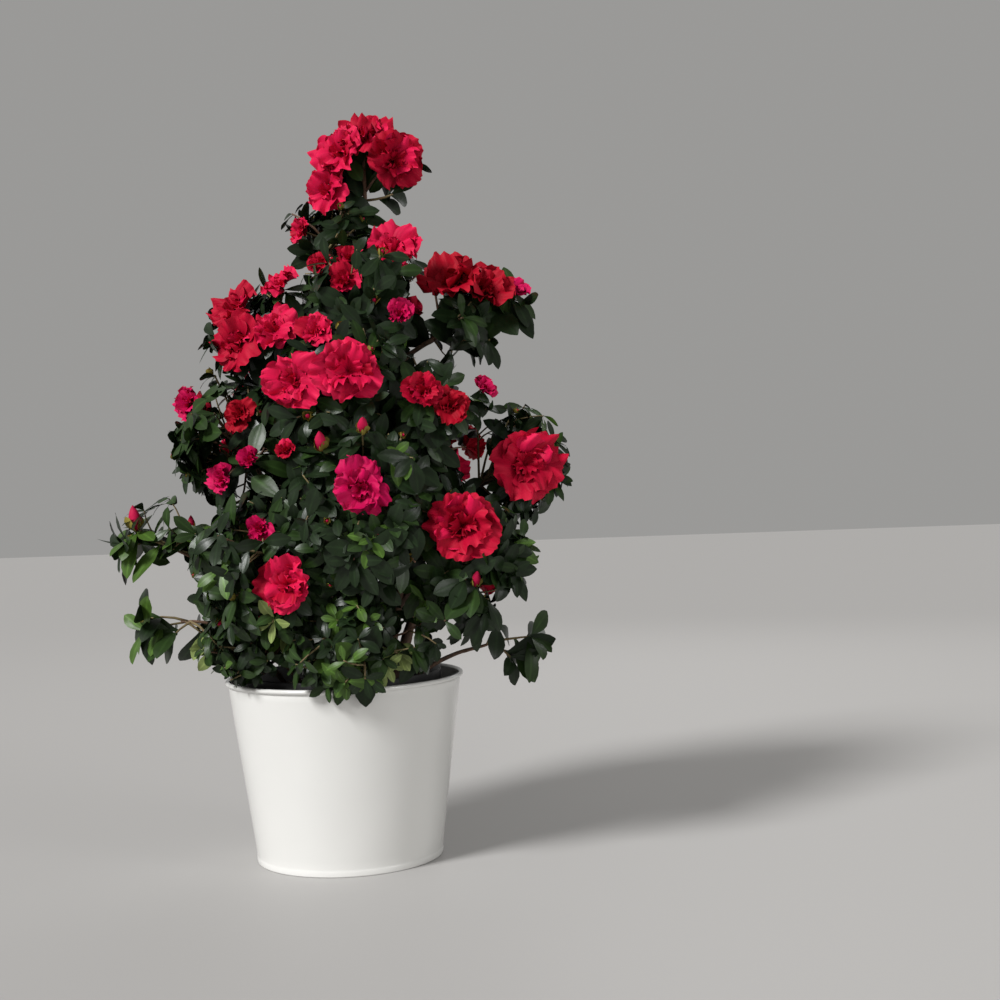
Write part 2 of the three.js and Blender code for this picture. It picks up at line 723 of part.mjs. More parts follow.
// A shoot: its twig from the stem, the flower or bud at its end if it has one, and its leaves
function shootSolids(shoot, stem, mass, free, inSpace, random) {
  const end = shoot.end.clone();
  for (let pull = 0; pull < PULLS && !inSpace(end); pull++) end.lerp(mass.centre, PULL_SHARE);
  const start = stem.getPoint(FIRST_TWIG + (1 - FIRST_TWIG) * random());
  let flower = null;
  let twigEnd = end;
  if (shoot.width) {
    const centre = end.clone();
    const facing = outward(end, FLOWER_LIFT);
    const isBud = shoot.width < BUD_WIDTH_LIMIT;
    for (let pull = 0; pull < PULLS && !flower; pull++) {
      const geometry = isBud ? budGeometry(centre, facing) : bloomGeometry(centre, facing, shoot.width);
      flower = free(geometry, true);
      if (!flower) centre.lerp(mass.centre, BLOOM_PULL_SHARE);
    }
    const seat = isBud ? BUD_LENGTH * BUD_SEAT : shoot.width * BLOOM_SEAT;
    twigEnd = centre.addScaledVector(facing, -seat);
  }
  const path = new THREE.LineCurve3(start, twigEnd);
  const thickness = (share) => TWIG_ROOT_RADIUS + (TWIG_TIP_RADIUS - TWIG_ROOT_RADIUS) * share;
  const twig = free(taperedTube(path, thickness, TWIG_SIDES, 1));
  if (!twig) return [];
  const solids = flower ? [twig, flower] : [twig];
  const along = path.getTangent(1);
  const aside = LEAF_ASIDE.clone().cross(along).normalize();
  const widest = LEAF_SPREAD + (flower ? LEAF_SPREAD_RANGE : 0);
  let placed = 0;
  for (let k = 0; k < LEAVES_PER_SHOOT * LEAF_TRIES && placed < LEAVES_PER_SHOOT; k++) {
    const share = 1 - LEAF_STEP * (placed + 0.5);
    const spread = widest + LEAF_SPREAD_RANGE * random();
    const direction = aside.clone().applyAxisAngle(along, k * GOLDEN_ANGLE + mass.turn);
    const aim = along.clone().multiplyScalar(Math.cos(spread));
    aim.addScaledVector(direction, Math.sin(spread)).addScaledVector(UP, -LEAF_HANG).normalize();
    const face = along.clone().addScaledVector(UP, LEAF_FACE_LIFT).normalize();
    const length = LEAF_LENGTH * sizeShare(random);
    const leaf = free(leafGeometry(path.getPoint(share), aim, face, length), true);
    if (!leaf) continue;
    solids.push(leaf);
    placed += 1;
  }
  return solids;
}

// The colours, roughness and sheen of the parts
const FINISHES = {
  painted: { color: 0xf2f0e8, roughness: 0.3, metalness: 0.0 },
  plastic: { color: 0x17171a, roughness: 0.55, metalness: 0.0 },
  compost: { color: 0x2c211a, roughness: 0.95, metalness: 0.0 },
  bark: { color: 0x5a4232, roughness: 0.85, metalness: 0.0 },
  foliage: { color: 0x1f3a20, roughness: 0.45, metalness: 0.0 },
};

const azalea = new THREE.Group();

// Adds one named mesh with its own material to the plant
function addPart(name, geometry, finish) {
  const mesh = new THREE.Mesh(geometry, new THREE.MeshStandardMaterial(FINISHES[finish]));
  mesh.name = name;
  azalea.add(mesh);
}

addPart("planter", turned(planterProfile()), "painted");
addPart("inner_pot", turned(potProfile()), "plastic");
addPart("compost", turned(compostProfile()), "compost");

const limbs = makeLimbs();
for (const limb of Object.values(limbs)) {
  addPart(limb.name, geometryOf(limb.solid), "bark");
}

const masses = MASSES.map(([name, limb, centre, half, shoots, dense, seededBlooms], index) => ({
  name,
  limb,
  centre: new THREE.Vector3(...centre),
  half: new THREE.Vector3(...half),
  shoots,
  dense,
  seededBlooms,
  blooms: BLOOMS.filter(([owner]) => owner === name),
  tips: SPRAY_TIPS.filter(([owner]) => owner === name),
  turn: index * TURN_STEP,
}));

// What no leaf may touch: the planter with all that fills it, and every limb grown by its clearance
const base = PLANTER_BASE_RADIUS + HEM_PROUD + PLANTER_CLEARANCE;
const rim = PLANTER_TOP_RADIUS + BEAD_RADIUS + PLANTER_CLEARANCE;
const potRim = POT_RIM_RADIUS + PLANTER_CLEARANCE;
const potMouth = potRadius(COMPOST_HEIGHT) - POT_WALL - PLANTER_CLEARANCE;
const keepOut = solidOf(
  turned([
    [0, -PLANTER_CLEARANCE],
    [base, -PLANTER_CLEARANCE],
    [rim, PLANTER_HEIGHT - 2 * BEAD_RADIUS],
    [rim, PLANTER_HEIGHT + PLANTER_CLEARANCE],
    [potRim, PLANTER_HEIGHT + PLANTER_CLEARANCE],
    [potRim, POT_RIM_HEIGHT + PLANTER_CLEARANCE],
    [potMouth, POT_RIM_HEIGHT + PLANTER_CLEARANCE],
    [potMouth, COMPOST_HEIGHT + PLANTER_CLEARANCE],
    [0, COMPOST_HEIGHT + PLANTER_CLEARANCE],
  ]),
);
const blocked = joined([keepOut, ...Object.values(limbs).map((limb) => limb.grown)]);
masses.forEach((mass, index) => {
  const random = seeded(FIRST_SEED + SEED_STEP * index);
  const solid = makeMass(mass, masses, limbs[mass.limb], blocked, random);
  addPart(mass.name, geometryOf(solid), "foliage");
});

export default azalea;
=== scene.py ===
"""A pyramid-trained azalea in double flower, in a round enamelled tin planter, dressed round its frame."""

import functools
import math

import bpy
import numpy as np
from bpy.props import FloatProperty, FloatVectorProperty, IntProperty, PointerProperty
from mathutils import Euler, Matrix, Vector


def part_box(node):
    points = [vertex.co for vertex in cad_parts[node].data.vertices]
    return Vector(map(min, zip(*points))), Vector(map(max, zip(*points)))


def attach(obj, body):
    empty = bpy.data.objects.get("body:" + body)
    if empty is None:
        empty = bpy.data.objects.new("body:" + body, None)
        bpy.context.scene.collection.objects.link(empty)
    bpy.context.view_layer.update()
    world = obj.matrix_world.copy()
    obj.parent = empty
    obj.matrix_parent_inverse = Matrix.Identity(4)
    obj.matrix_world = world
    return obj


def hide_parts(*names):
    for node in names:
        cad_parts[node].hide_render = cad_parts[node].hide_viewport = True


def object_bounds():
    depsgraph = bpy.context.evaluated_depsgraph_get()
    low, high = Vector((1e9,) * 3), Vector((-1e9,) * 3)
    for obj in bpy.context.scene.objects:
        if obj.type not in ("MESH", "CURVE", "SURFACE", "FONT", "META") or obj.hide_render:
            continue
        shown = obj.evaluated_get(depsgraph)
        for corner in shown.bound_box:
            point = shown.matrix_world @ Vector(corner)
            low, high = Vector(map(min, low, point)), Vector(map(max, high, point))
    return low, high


bl_info = {
    "name": "Azalea in a tin planter",
    "version": (1, 0, 0),
    "blender": (4, 5, 0),
    "location": "View3D > Sidebar > Azalea",
    "description": "Grows a potted azalea from its frame: planter, compost, limbs, leaves and flowers",
    "category": "Add Mesh",
}

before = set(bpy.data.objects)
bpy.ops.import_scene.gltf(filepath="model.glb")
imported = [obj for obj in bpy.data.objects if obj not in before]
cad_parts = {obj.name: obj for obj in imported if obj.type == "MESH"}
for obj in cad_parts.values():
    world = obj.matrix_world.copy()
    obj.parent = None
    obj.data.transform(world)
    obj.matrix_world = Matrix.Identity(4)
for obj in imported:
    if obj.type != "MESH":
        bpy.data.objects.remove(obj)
cad_box = [list(corner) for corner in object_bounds()]

MM = 0.001
UP = np.array([0.0, 0.0, 1.0])
GOLDEN_ANGLE = math.pi * (3 - math.sqrt(5))
BODY = "root"

# The frame's own sizes
PLANTER_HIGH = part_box("planter")[1]
POT_LOW, POT_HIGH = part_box("inner_pot")
COMPOST_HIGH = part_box("compost")[1]
PLANTER_HEIGHT = PLANTER_HIGH.z
PLANTER_RIM = PLANTER_HIGH.x
POT_RIM = POT_HIGH.x
POT_TOP = POT_HIGH.z
COMPOST_TOP = COMPOST_HIGH.z
SEAT_GAP = 0.3 * MM
NEAR_AXIS = 0.0005 * MM

# The limbs, in millimetres: name, parent, share of the parent's length, tip, foot radius, tip radius.
# A limb whose parent is a place stands in the compost there.
LIMBS = (
    ("trunk", (14, 4), 0, (30, 2, 536), 6.5, 2.2),
    ("left_stem", (-20, -4), 0, (-62, -14, 318), 4.6, 2.2),
    ("right_stem", (42, 6), 0, (108, -8, 296), 4.8, 2.2),
    ("front_stem", (8, -24), 0, (32, -72, 286), 4.2, 2.0),
    ("back_left_stem", (-6, 28), 0, (-38, 48, 320), 4.2, 2.0),
    ("back_right_stem", (34, 32), 0, (72, 54, 320), 4.2, 2.0),
    ("neck_bough", "trunk", 0.78, (4, -8, 494), 2.3, 1.6),
    ("upper_left_bough", "trunk", 0.5, (-38, -20, 414), 3.0, 1.8),
    ("upper_right_bough", "trunk", 0.55, (84, -14, 424), 3.0, 1.8),
    ("upper_front_bough", "trunk", 0.62, (38, -36, 436), 2.8, 1.8),
    ("upper_back_bough", "trunk", 0.58, (26, 42, 430), 2.8, 1.8),
    ("mid_front_bough", "trunk", 0.36, (14, -64, 366), 3.2, 2.0),
    ("mid_right_bough", "right_stem", 0.62, (96, -36, 346), 2.8, 1.8),
    ("lower_right_bough", "right_stem", 0.3, (92, -50, 238), 3.0, 1.8),
    ("lower_left_bough", "left_stem", 0.3, (-38, -52, 240), 3.0, 1.8),
    ("back_left_bough", "back_left_stem", 0.3, (-44, 44, 232), 2.8, 1.8),
    ("back_right_bough", "back_right_stem", 0.3, (88, 42, 230), 2.8, 1.8),
    ("left_spray_bough", "left_stem", 0.12, (-118, -22, 252), 2.4, 1.4),
    ("low_left_spray_bough", (-46, -14), 0, (-106, -26, 198), 2.2, 1.4),
    ("low_right_spray_bough", (56, -14), 0, (112, -16, 170), 2.2, 1.4),
    ("left_skirt_bough", (-30, -34), 0, (-44, -50, 166), 2.2, 1.5),
    ("front_skirt_bough", (20, -46), 0, (22, -70, 172), 2.2, 1.5),
)

# The masses, in millimetres: name, limb, centre, half extents, main shoots, dense or loose,
# seeded flowers, and the shares of light and of pale young growth.
MASSES = (
    ("crown_top", "trunk", (30, 0, 578), (46, 42, 43), 0, False, 0, 0.04, 0.0),
    ("neck", "neck_bough", (-4, -8, 516), (36, 34, 34), 18, True, 0, 0.0, 0.0),
    ("upper_left", "upper_left_bough", (-54, -26, 432), (52, 52, 50), 20, True, 0, 0.01, 0.0),
    ("upper_right", "upper_right_bough", (104, -18, 444), (58, 44, 44), 10, False, 0, 0.02, 0.0),
    ("upper_front", "upper_front_bough", (36, -54, 464), (52, 48, 48), 20, True, 0, 0.02, 0.0),
    ("upper_back", "upper_back_bough", (26, 56, 456), (64, 54, 58), 20, True, 3, 0.05, 0.01),
    ("mid_front", "mid_front_bough", (10, -86, 386), (64, 52, 54), 22, True, 0, 0.03, 0.0),
    ("mid_left", "left_stem", (-78, -24, 344), (52, 62, 62), 20, True, 1, 0.08, 0.0),
    ("mid_right", "mid_right_bough", (90, -60, 366), (48, 52, 48), 18, True, 0, 0.03, 0.0),
    ("centre_front", "front_stem", (34, -94, 282), (60, 52, 74), 28, True, 0, 0.03, 0.0),
    ("right_side", "right_stem", (136, -16, 318), (54, 60, 48), 16, True, 1, 0.08, 0.0),
    ("lower_right", "lower_right_bough", (100, -68, 240), (58, 60, 60), 20, True, 0, 0.08, 0.02),
    ("lower_left", "lower_left_bough", (-48, -76, 246), (62, 60, 62), 22, True, 0, 0.08, 0.02),
    ("back_left", "back_left_stem", (-54, 64, 352), (66, 62, 66), 22, True, 3, 0.05, 0.01),
    ("back_right", "back_right_stem", (76, 66, 342), (60, 60, 58), 20, True, 3, 0.05, 0.01),
    ("low_back_left", "back_left_bough", (-50, 56, 236), (60, 68, 62), 22, True, 1, 0.07, 0.015),
    ("low_back_right", "back_right_bough", (92, 58, 236), (58, 68, 62), 22, True, 2, 0.07, 0.015),
    ("left_skirt", "left_skirt_bough", (-62, -52, 188), (48, 50, 36), 20, True, 0, 0.12, 0.05),
    ("left_spray", "left_spray_bough", (-142, -24, 264), (52, 38, 38), 0, False, 0, 0.3, 0.0),
    ("low_left_spray", "low_left_spray_bough", (-134, -28, 200), (52, 38, 34), 0, False, 0, 0.35, 0.05),
    ("low_right_spray", "low_right_spray_bough", (136, -18, 180), (44, 42, 36), 0, False, 0, 0.1, 0.0),
    ("front_skirt", "front_skirt_bough", (22, -78, 184), (64, 48, 42), 14, False, 0, 0.1, 0.03),
)

# The leaves' colours: dark, mid and light green, young growth, and a darker green of painted shade inside the
# crown
DARK, MID, LIGHT, YOUNG, SHADED_GREEN = range(5)

# Where the shoots of the loose sprays end, in millimetres, and their leaves' colour
SPRAY_TIPS = {
    "crown_top": (
        (44, -22, 552, DARK), (20, -34, 560, DARK), (66, 4, 556, DARK), (-14, -16, 564, MID),
        (30, -10, 548, DARK), (26, 30, 572, DARK), (56, 14, 552, DARK), (-4, 16, 560, DARK),
        (36, 26, 548, DARK), (2, 20, 588, DARK), (66, -12, 544, DARK), (12, -14, 548, DARK),
        (54, -8, 546, DARK), (34, -28, 546, DARK), (60, 10, 560, DARK), (-16, -8, 576, MID),
        (50, -18, 538, DARK), (40, -20, 532, DARK), (22, -22, 536, DARK), (58, -6, 536, DARK),
    ),
    "neck": (
        (18, -18, 530, DARK), (26, -12, 520, DARK), (12, -28, 516, DARK), (24, -4, 506, DARK),
        (2, -24, 536, MID), (14, 6, 526, DARK),
    ),
    "upper_right": (
        (84, -34, 444, DARK), (116, -36, 436, DARK), (142, -28, 438, DARK), (104, -24, 418, DARK),
        (130, -14, 422, DARK), (76, -4, 432, DARK), (148, -10, 456, DARK),
    ),
    "left_spray": (
        (-163, -28, 270, LIGHT), (-114, -26, 269, MID), (-102, -20, 247, MID), (-128, -12, 262, DARK),
    ),
    "low_left_spray": (
        (-155, -28, 204, DARK), (-158, -30, 194, LIGHT), (-112, -26, 190, DARK), (-134, -32, 190, MID),
        (-94, -34, 174, YOUNG),
    ),
    "low_right_spray": (
        (130, -20, 190, DARK), (156, -20, 178, MID), (150, -6, 196, DARK), (138, -24, 162, DARK),
    ),
    "front_skirt": (
        (44, -102, 168, YOUNG), (28, -100, 176, YOUNG), (-4, -104, 167, MID), (-30, -98, 165, MID),
        (14, -96, 178, LIGHT), (24, -104, 164, LIGHT), (52, -98, 176, YOUNG), (-18, -102, 172, DARK),
        (10, -106, 162, MID), (38, -96, 190, MID), (-8, -94, 188, DARK), (70, -72, 176, DARK),
        (-38, -84, 184, DARK), (28, -84, 190, DARK), (-12, -96, 172, DARK), (58, -76, 186, DARK),
        (2, -84, 196, DARK),
    ),
}

# The flowers and buds that show from the front, in millimetres:
# by mass, each one's place, width, how far open from 0 to 1, colour, and the way it faces.
# The first red is painted light and the third is painted shade: the same red as it shows lit and shaded
LIT_CORAL, CRIMSON, SHADED_RED, MAGENTA = range(4)
BLOOMS = {
    "crown_top": (
        ((8, -20, 584), 54, 1.0, LIT_CORAL, (-0.45, -0.85, 0.25)),
        ((34, -12, 601), 52, 1.0, CRIMSON, (0.0, -0.75, 0.65)),
        ((60, -20, 573), 52, 1.0, CRIMSON, (0.4, -0.9, -0.05)),
        ((-1, -18, 551), 46, 1.0, LIT_CORAL, (-0.35, -0.92, 0.15)),
        ((46, 18, 586), 46, 1.0, SHADED_RED, (0.5, 0.7, 0.5)),
        ((12, 22, 582), 50, 1.0, CRIMSON, (-0.4, 0.9, 0.2)),
    ),
    "neck": (
        ((-25, -15, 518), 26, 0.6, LIT_CORAL, (-0.85, -0.45, 0.2)),
        ((-5, -40, 488), 24, 0.5, CRIMSON, (-0.3, -0.8, 0.5)),
    ),
    "upper_front": (
        ((58, -62, 495), 47, 0.8, LIT_CORAL, (0.2, -0.85, 0.5)),
        ((18, -78, 468), 30, 0.65, CRIMSON, (-0.1, -0.9, 0.35)),
        ((20, -60, 490), 24, 0.5, CRIMSON, (-0.1, -0.7, 0.7)),
        ((62, -96, 439), 27, 0.5, MAGENTA, (0.15, -0.85, 0.5)),
    ),
    "upper_left": (
        ((-38, -46, 474), 36, 0.8, LIT_CORAL, (-0.35, -0.6, 0.7)),
        ((-80, -30, 456), 48, 1.0, CRIMSON, (-0.5, -0.7, 0.5)),
        ((-74, -58, 424), 54, 1.0, CRIMSON, (-0.55, -0.83, 0.1)),
        ((-40, -72, 432), 46, 1.0, LIT_CORAL, (-0.1, -0.93, 0.35)),
    ),
    "upper_right": (
        ((100, -42, 476), 60, 0.62, SHADED_RED, (-0.25, -0.65, 0.72)),
        ((129, -38, 469), 52, 0.62, SHADED_RED, (0.4, -0.65, 0.64)),
        ((154, -16, 466), 25, 0.5, MAGENTA, (0.5, -0.6, 0.6)),
    ),
    "mid_front": (
        ((-4, -92, 428), 32, 0.8, LIT_CORAL, (-0.1, -0.85, 0.5)),
        ((-22, -118, 386), 56, 1.0, LIT_CORAL, (-0.3, -0.95, 0.05)),
        ((24, -122, 393), 58, 1.0, LIT_CORAL, (0.12, -0.98, 0.12)),
    ),
    "mid_left": (
        ((-118, -38, 379), 35, 0.6, MAGENTA, (-0.6, -0.78, 0.15)),
        ((-71, -66, 366), 32, 0.8, SHADED_RED, (-0.35, -0.9, 0.2)),
        ((-88, -66, 316), 30, 0.6, MAGENTA, (-0.5, -0.82, 0.25)),
        ((-60, -84, 330), 20, 0.45, MAGENTA, (-0.3, -0.85, 0.45)),
    ),
    "mid_right": (
        ((78, -104, 377), 34, 0.7, CRIMSON, (0.1, -0.93, 0.35)),
        ((100, -98, 365), 32, 0.9, SHADED_RED, (0.3, -0.93, 0.15)),
        ((127, -50, 384), 25, 0.5, MAGENTA, (0.6, -0.6, 0.5)),
    ),
    "centre_front": (
        ((31, -138, 304), 50, 0.95, MAGENTA, (0.05, -0.99, 0.1)),
        ((-27, -112, 336), 17, 0.4, CRIMSON, (-0.2, -0.85, 0.5)),
        ((34, -132, 348), 11, 0.1, MAGENTA, (0.1, -0.7, 0.7)),
        ((2, -128, 337), 12, 0.1, MAGENTA, (0.0, -0.6, 0.8)),
    ),
    "right_side": (
        ((158, -60, 320), 68, 1.0, CRIMSON, (0.3, -0.94, 0.1)),
    ),
    "lower_right": (
        ((106, -118, 273), 60, 1.0, CRIMSON, (0.1, -0.99, 0.05)),
        ((143, -66, 241), 19, 0.15, MAGENTA, (0.5, -0.6, 0.6)),
        ((114, -108, 230), 10, 0.1, MAGENTA, (0.1, -0.6, 0.8)),
    ),
    "lower_left": (
        ((-52, -104, 276), 28, 0.7, MAGENTA, (-0.3, -0.92, 0.25)),
        ((-30, -122, 234), 52, 0.85, LIT_CORAL, (-0.2, -0.97, 0.15)),
        ((-49, -100, 204), 10, 0.15, MAGENTA, (-0.3, -0.8, 0.5)),
    ),
    "left_spray": (
        ((-163, -28, 283), 14, 0.2, CRIMSON, (-0.1, -0.15, 0.98)),
        ((-118, -26, 279), 8, 0.1, MAGENTA, (0.0, -0.1, 0.99)),
    ),
}

# Openings in the foliage, seen through from the camera: across, up and half width in
# millimetres, where the line of sight crosses the plane GAP_DEPTH
EYE = np.array([0.134, -1.214, 0.295])
GAP_DEPTH = -20 * MM
GAP_EDGE = 3 * MM
SKY_GAPS = (
    (117, 327, 13), (79, 462, 8), (79, 449, 8), (90, 416, 5), (74, 413, 5), (115, 405, 6), (111, 384, 6),
    (143, 430, 5), (146, 407, 9), (125, 352, 6), (-94, 343, 5), (-88, 362, 4), (-94, 377, 5),
    (-112, 290, 7), (-71, 341, 3), (-78, 312, 4), (-126, 295, 6), (-130, 229, 9), (-147, 226, 7),
    (-136, 249, 3), (70, 246, 3), (104, 246, 5), (145, 199, 13), (122, 217, 6), (95, 196, 5),
    (55, 180, 6), (-34, 478, 5),
)

# The leaves' lengths in millimetres, on main shoots, side shoots and sprays, and a skirt leaf's share
SHOOT_LEAVES = (27, 37)
SIDE_LEAVES = (23, 33)
SPRAY_LEAVES = (34, 44)
SKIRT_LEAF_SHARE = 0.66

# How far a rosette's outer leaves start below its tip, and how far leaves keep from a limb
ROOT_REACH = 4 * MM
LIMB_GAP = 1.2 * MM

# The room that leaves keep outside the planter's rim, and above the compost and the pot
RIM_ROOM, TOP_ROOM = 1.5 * MM, 2 * MM

# How far a leaf's middle and its tip may pass the plane to a neighbouring mass
MIDDLE_SLACK, TIP_SLACK = 6 * MM, 10 * MM

# Leaves keep clear of flowers wider than this, and this far in front of them
KEPT_FLOWER = 20 * MM
FLOWER_VIEW = 60 * MM

# The twigs' radii at their foot and tip
MAIN_TWIG = (1.25 * MM, 0.75 * MM)
SIDE_TWIG = (0.85 * MM, 0.5 * MM)

# What is added to a leaf's facing, in the crown and on the sprays
CROWN_FACE = np.array([0.0, -0.3, 0.25])
SPRAY_FACE = np.array([0.0, -1.5, 0.7])

# Flowers open no more than CLOSED are closed buds, and buds wider than SMALL_BUD are large ones
CLOSED = 0.3
SMALL_BUD = 7.5 * MM

# The chance of a small bud at a leafy shoot's tip
BUD_CHANCE = 0.28

# The forms' grids: a leaf's stations and ribs, and the rows and columns of petals, bracts and buds
LEAF_FORMS = 8
LEAF_STATIONS = np.array([0.0, 0.09, 0.24, 0.42, 0.6, 0.77, 0.91, 1.0])
LEAF_RIBS = np.array([-1.0, -0.5, 0.0, 0.5, 1.0])
PETAL_ROWS, PETAL_COLUMNS = 10, 17
BRACT_ROWS, BRACT_COLUMNS = 5, 7
BUD_RINGS, BUD_SIDES = 9, 12
BLADE_UV = "blade"

# Leaves of one colour that are more than this go in two pieces
MOST_LEAVES = 3400

# A flower's whorls: petals, opening at the base and tip in degrees when fully open, length, width, ruffle
WHORLS = (
    (5, 46, 96, 1.0, 1.2, 0.13),
    (5, 34, 70, 0.8, 1.02, 0.17),
    (5, 20, 50, 0.52, 0.66, 0.24),
)

# The colours, in the order of their numbers: the leaves' with their roughness, and the petals'
LEAF_KINDS = (
    ("dark", (0.0098, 0.0198, 0.0068), 0.26),
    ("mid", (0.0185, 0.039, 0.009), 0.28),
    ("light", (0.05, 0.1, 0.016), 0.32),
    ("young", (0.2, 0.255, 0.08), 0.36),
    # The last green is painted shade: the leaves' green as it shows far inside the crown
    ("shaded_green", (0.006, 0.0125, 0.0045), 0.32),
)
PETAL_COLOURS = (
    # The first red is painted light, the red as it shows where lit, and the third is painted shade, the red
    # as it shows in shade
    ("lit_coral", (0.64, 0.006, 0.062)),
    ("crimson", (0.44, 0.0012, 0.026)),
    ("shaded_red", (0.36, 0.0006, 0.014)),
    ("magenta", (0.54, 0.002, 0.08)),
)


def length_of(vector):
    """A vector's length."""
    return float(np.linalg.norm(vector))


def unit(vector):
    """The vector at length 1."""
    return vector / max(length_of(vector), 1e-9)


def turned_about(vector, axis, angle):
    """The vector turned about a unit axis."""
    cosine = math.cos(angle)
    along = axis * float(axis @ vector) * (1 - cosine)
    return vector * cosine + np.cross(axis, vector) * math.sin(angle) + along


def across(axis):
    """A unit vector square to an axis."""
    other = UP if abs(axis[2]) < 0.9 else np.array([1.0, 0.0, 0.0])
    return unit(np.cross(axis, other))


class Curve:
    """A quadratic curve from a start, by a bend, to an end."""

    def __init__(self, start, bend, end):
        self.start, self.bend, self.end = start, bend, end

    def at(self, share):
        keep = 1 - share
        return keep * keep * self.start + 2 * keep * share * self.bend + share * share * self.end

    def tangent(self, share):
        return unit((1 - share) * (self.bend - self.start) + share * (self.end - self.bend))


class Limb:
    """A trunk, stem or bough: its centre line and its taper, with a flare where it is rooted."""

    def __init__(self, curve, foot, tip, rooted):
        self.curve, self.foot, self.tip, self.rooted = curve, foot, tip, rooted

    def radius(self, share):
        flare = 0.45 * self.foot * max(0.0, 1 - share * 16) if self.rooted else 0.0
        return self.foot + (self.tip - self.foot) * share + flare


@functools.lru_cache(maxsize=1)
def limbs():
    """Every limb by name, on the centre lines of the frame's own limbs."""
    made = {}
    for name, parent, share, tip, foot_radius, tip_radius in LIMBS:
        rooted = not isinstance(parent, str)
        if rooted:
            start = np.array([parent[0] * MM, parent[1] * MM, COMPOST_TOP + SEAT_GAP])
        else:
            start = made[parent].curve.at(share)
        end = np.array(tip) * MM
        reach = end - start
        lift = reach[2] * 0.55 + math.hypot(reach[0], reach[1]) * 0.12
        bend = start + np.array([reach[0] * 0.35, reach[1] * 0.35, lift])
        made[name] = Limb(Curve(start, bend, end), foot_radius * MM, tip_radius * MM, rooted)
    return made


@functools.lru_cache(maxsize=1)
def limb_samples():
    """Points along every limb and the radius there."""
    shares = [i / 24 for i in range(25)]
    points = [limb.curve.at(share) for limb in limbs().values() for share in shares]
    radii = [limb.radius(share) for limb in limbs().values() for share in shares]
    return np.array(points), np.array(radii)


# The crown's heart, a cone that leaves fill between the masses: heights and radii, in millimetres
HEART_HEIGHTS = (150, 230, 330, 420, 500)
HEART_RADII = (70, 92, 100, 66, 30)


def in_heart(point):
    """Whether a point is in the crown's heart."""
    radius = np.interp(point[2] / MM, HEART_HEIGHTS, HEART_RADII) * MM
    return math.hypot(point[0] - 24 * MM, point[1] + 4 * MM) < radius


def in_planter(point):
    """Whether a point lies in the planter's rim, the pot's rim or the compost."""
    radius = math.hypot(point[0], point[1])
    if point[2] < COMPOST_TOP + TOP_ROOM:
        return radius < PLANTER_RIM + RIM_ROOM
    return point[2] < POT_TOP + TOP_ROOM and POT_RIM - 5 * MM < radius < PLANTER_RIM + RIM_ROOM


def in_sky_gap(points):
    """Whether any of the points stands in front of or behind an opening in the foliage."""
    nearness = (GAP_DEPTH - EYE[1]) / (points[:, 1] - EYE[1])
    seen = EYE + (points - EYE) * nearness[:, None]
    gaps = np.array(SKY_GAPS) * MM
    offsets = seen[:, None, ::2] - gaps[None, :, :2]
    return bool((np.linalg.norm(offsets, axis=2) < gaps[:, 2] + GAP_EDGE).any())


def outward(point, lift):
    """The way that the crown's surface faces at a point, leaning up."""
    axis = np.array([26 * MM, 0.0, point[2]])
    return unit(unit(point - axis) + UP * lift)


class Flower:
    """An open flower or a bud: its heart, width, opening, colour and facing."""

    def __init__(self, place, width, opening, colour, facing):
        self.place, self.width, self.opening = place, width, opening
        self.colour, self.facing = colour, unit(facing)
        self.open = opening > CLOSED

    def axes(self):
        """The flower's own axes, as columns; Z is the way that it faces."""
        side = across(self.facing)
        return np.stack([side, np.cross(self.facing, side), self.facing], 1)


class Growth:
    """All that the rule has grown: twigs, leaves and flowers."""

    def __init__(self):
        self.twigs, self.leaves, self.flowers, self.buds = [], [], [], []
        self.hearts = None

    def settle(self):
        """Notes where the flowers stand, before the leaves are laid."""
        rows = [(f.place, f.facing, f.width / 2) for f in self.flowers if f.width > KEPT_FLOWER]
        self.hearts = [np.array(column) for column in zip(*rows)]

    def covers_flower(self, points):
        """Whether any of the points lies in a flower or straight in front of one."""
        places, facings, radii = self.hearts
        offset = np.asarray(points)[:, None, :] - places[None, :, :]
        ahead = np.einsum("pfi,fi->pf", offset, facings)
        aside = np.linalg.norm(offset - ahead[..., None] * facings[None], axis=2)
        edge = np.where(ahead > -0.1 * radii, 1.12, 0.94) * radii
        inside = (ahead > -0.4 * radii) & (ahead < FLOWER_VIEW) & (aside < edge)
        return bool(inside.any())


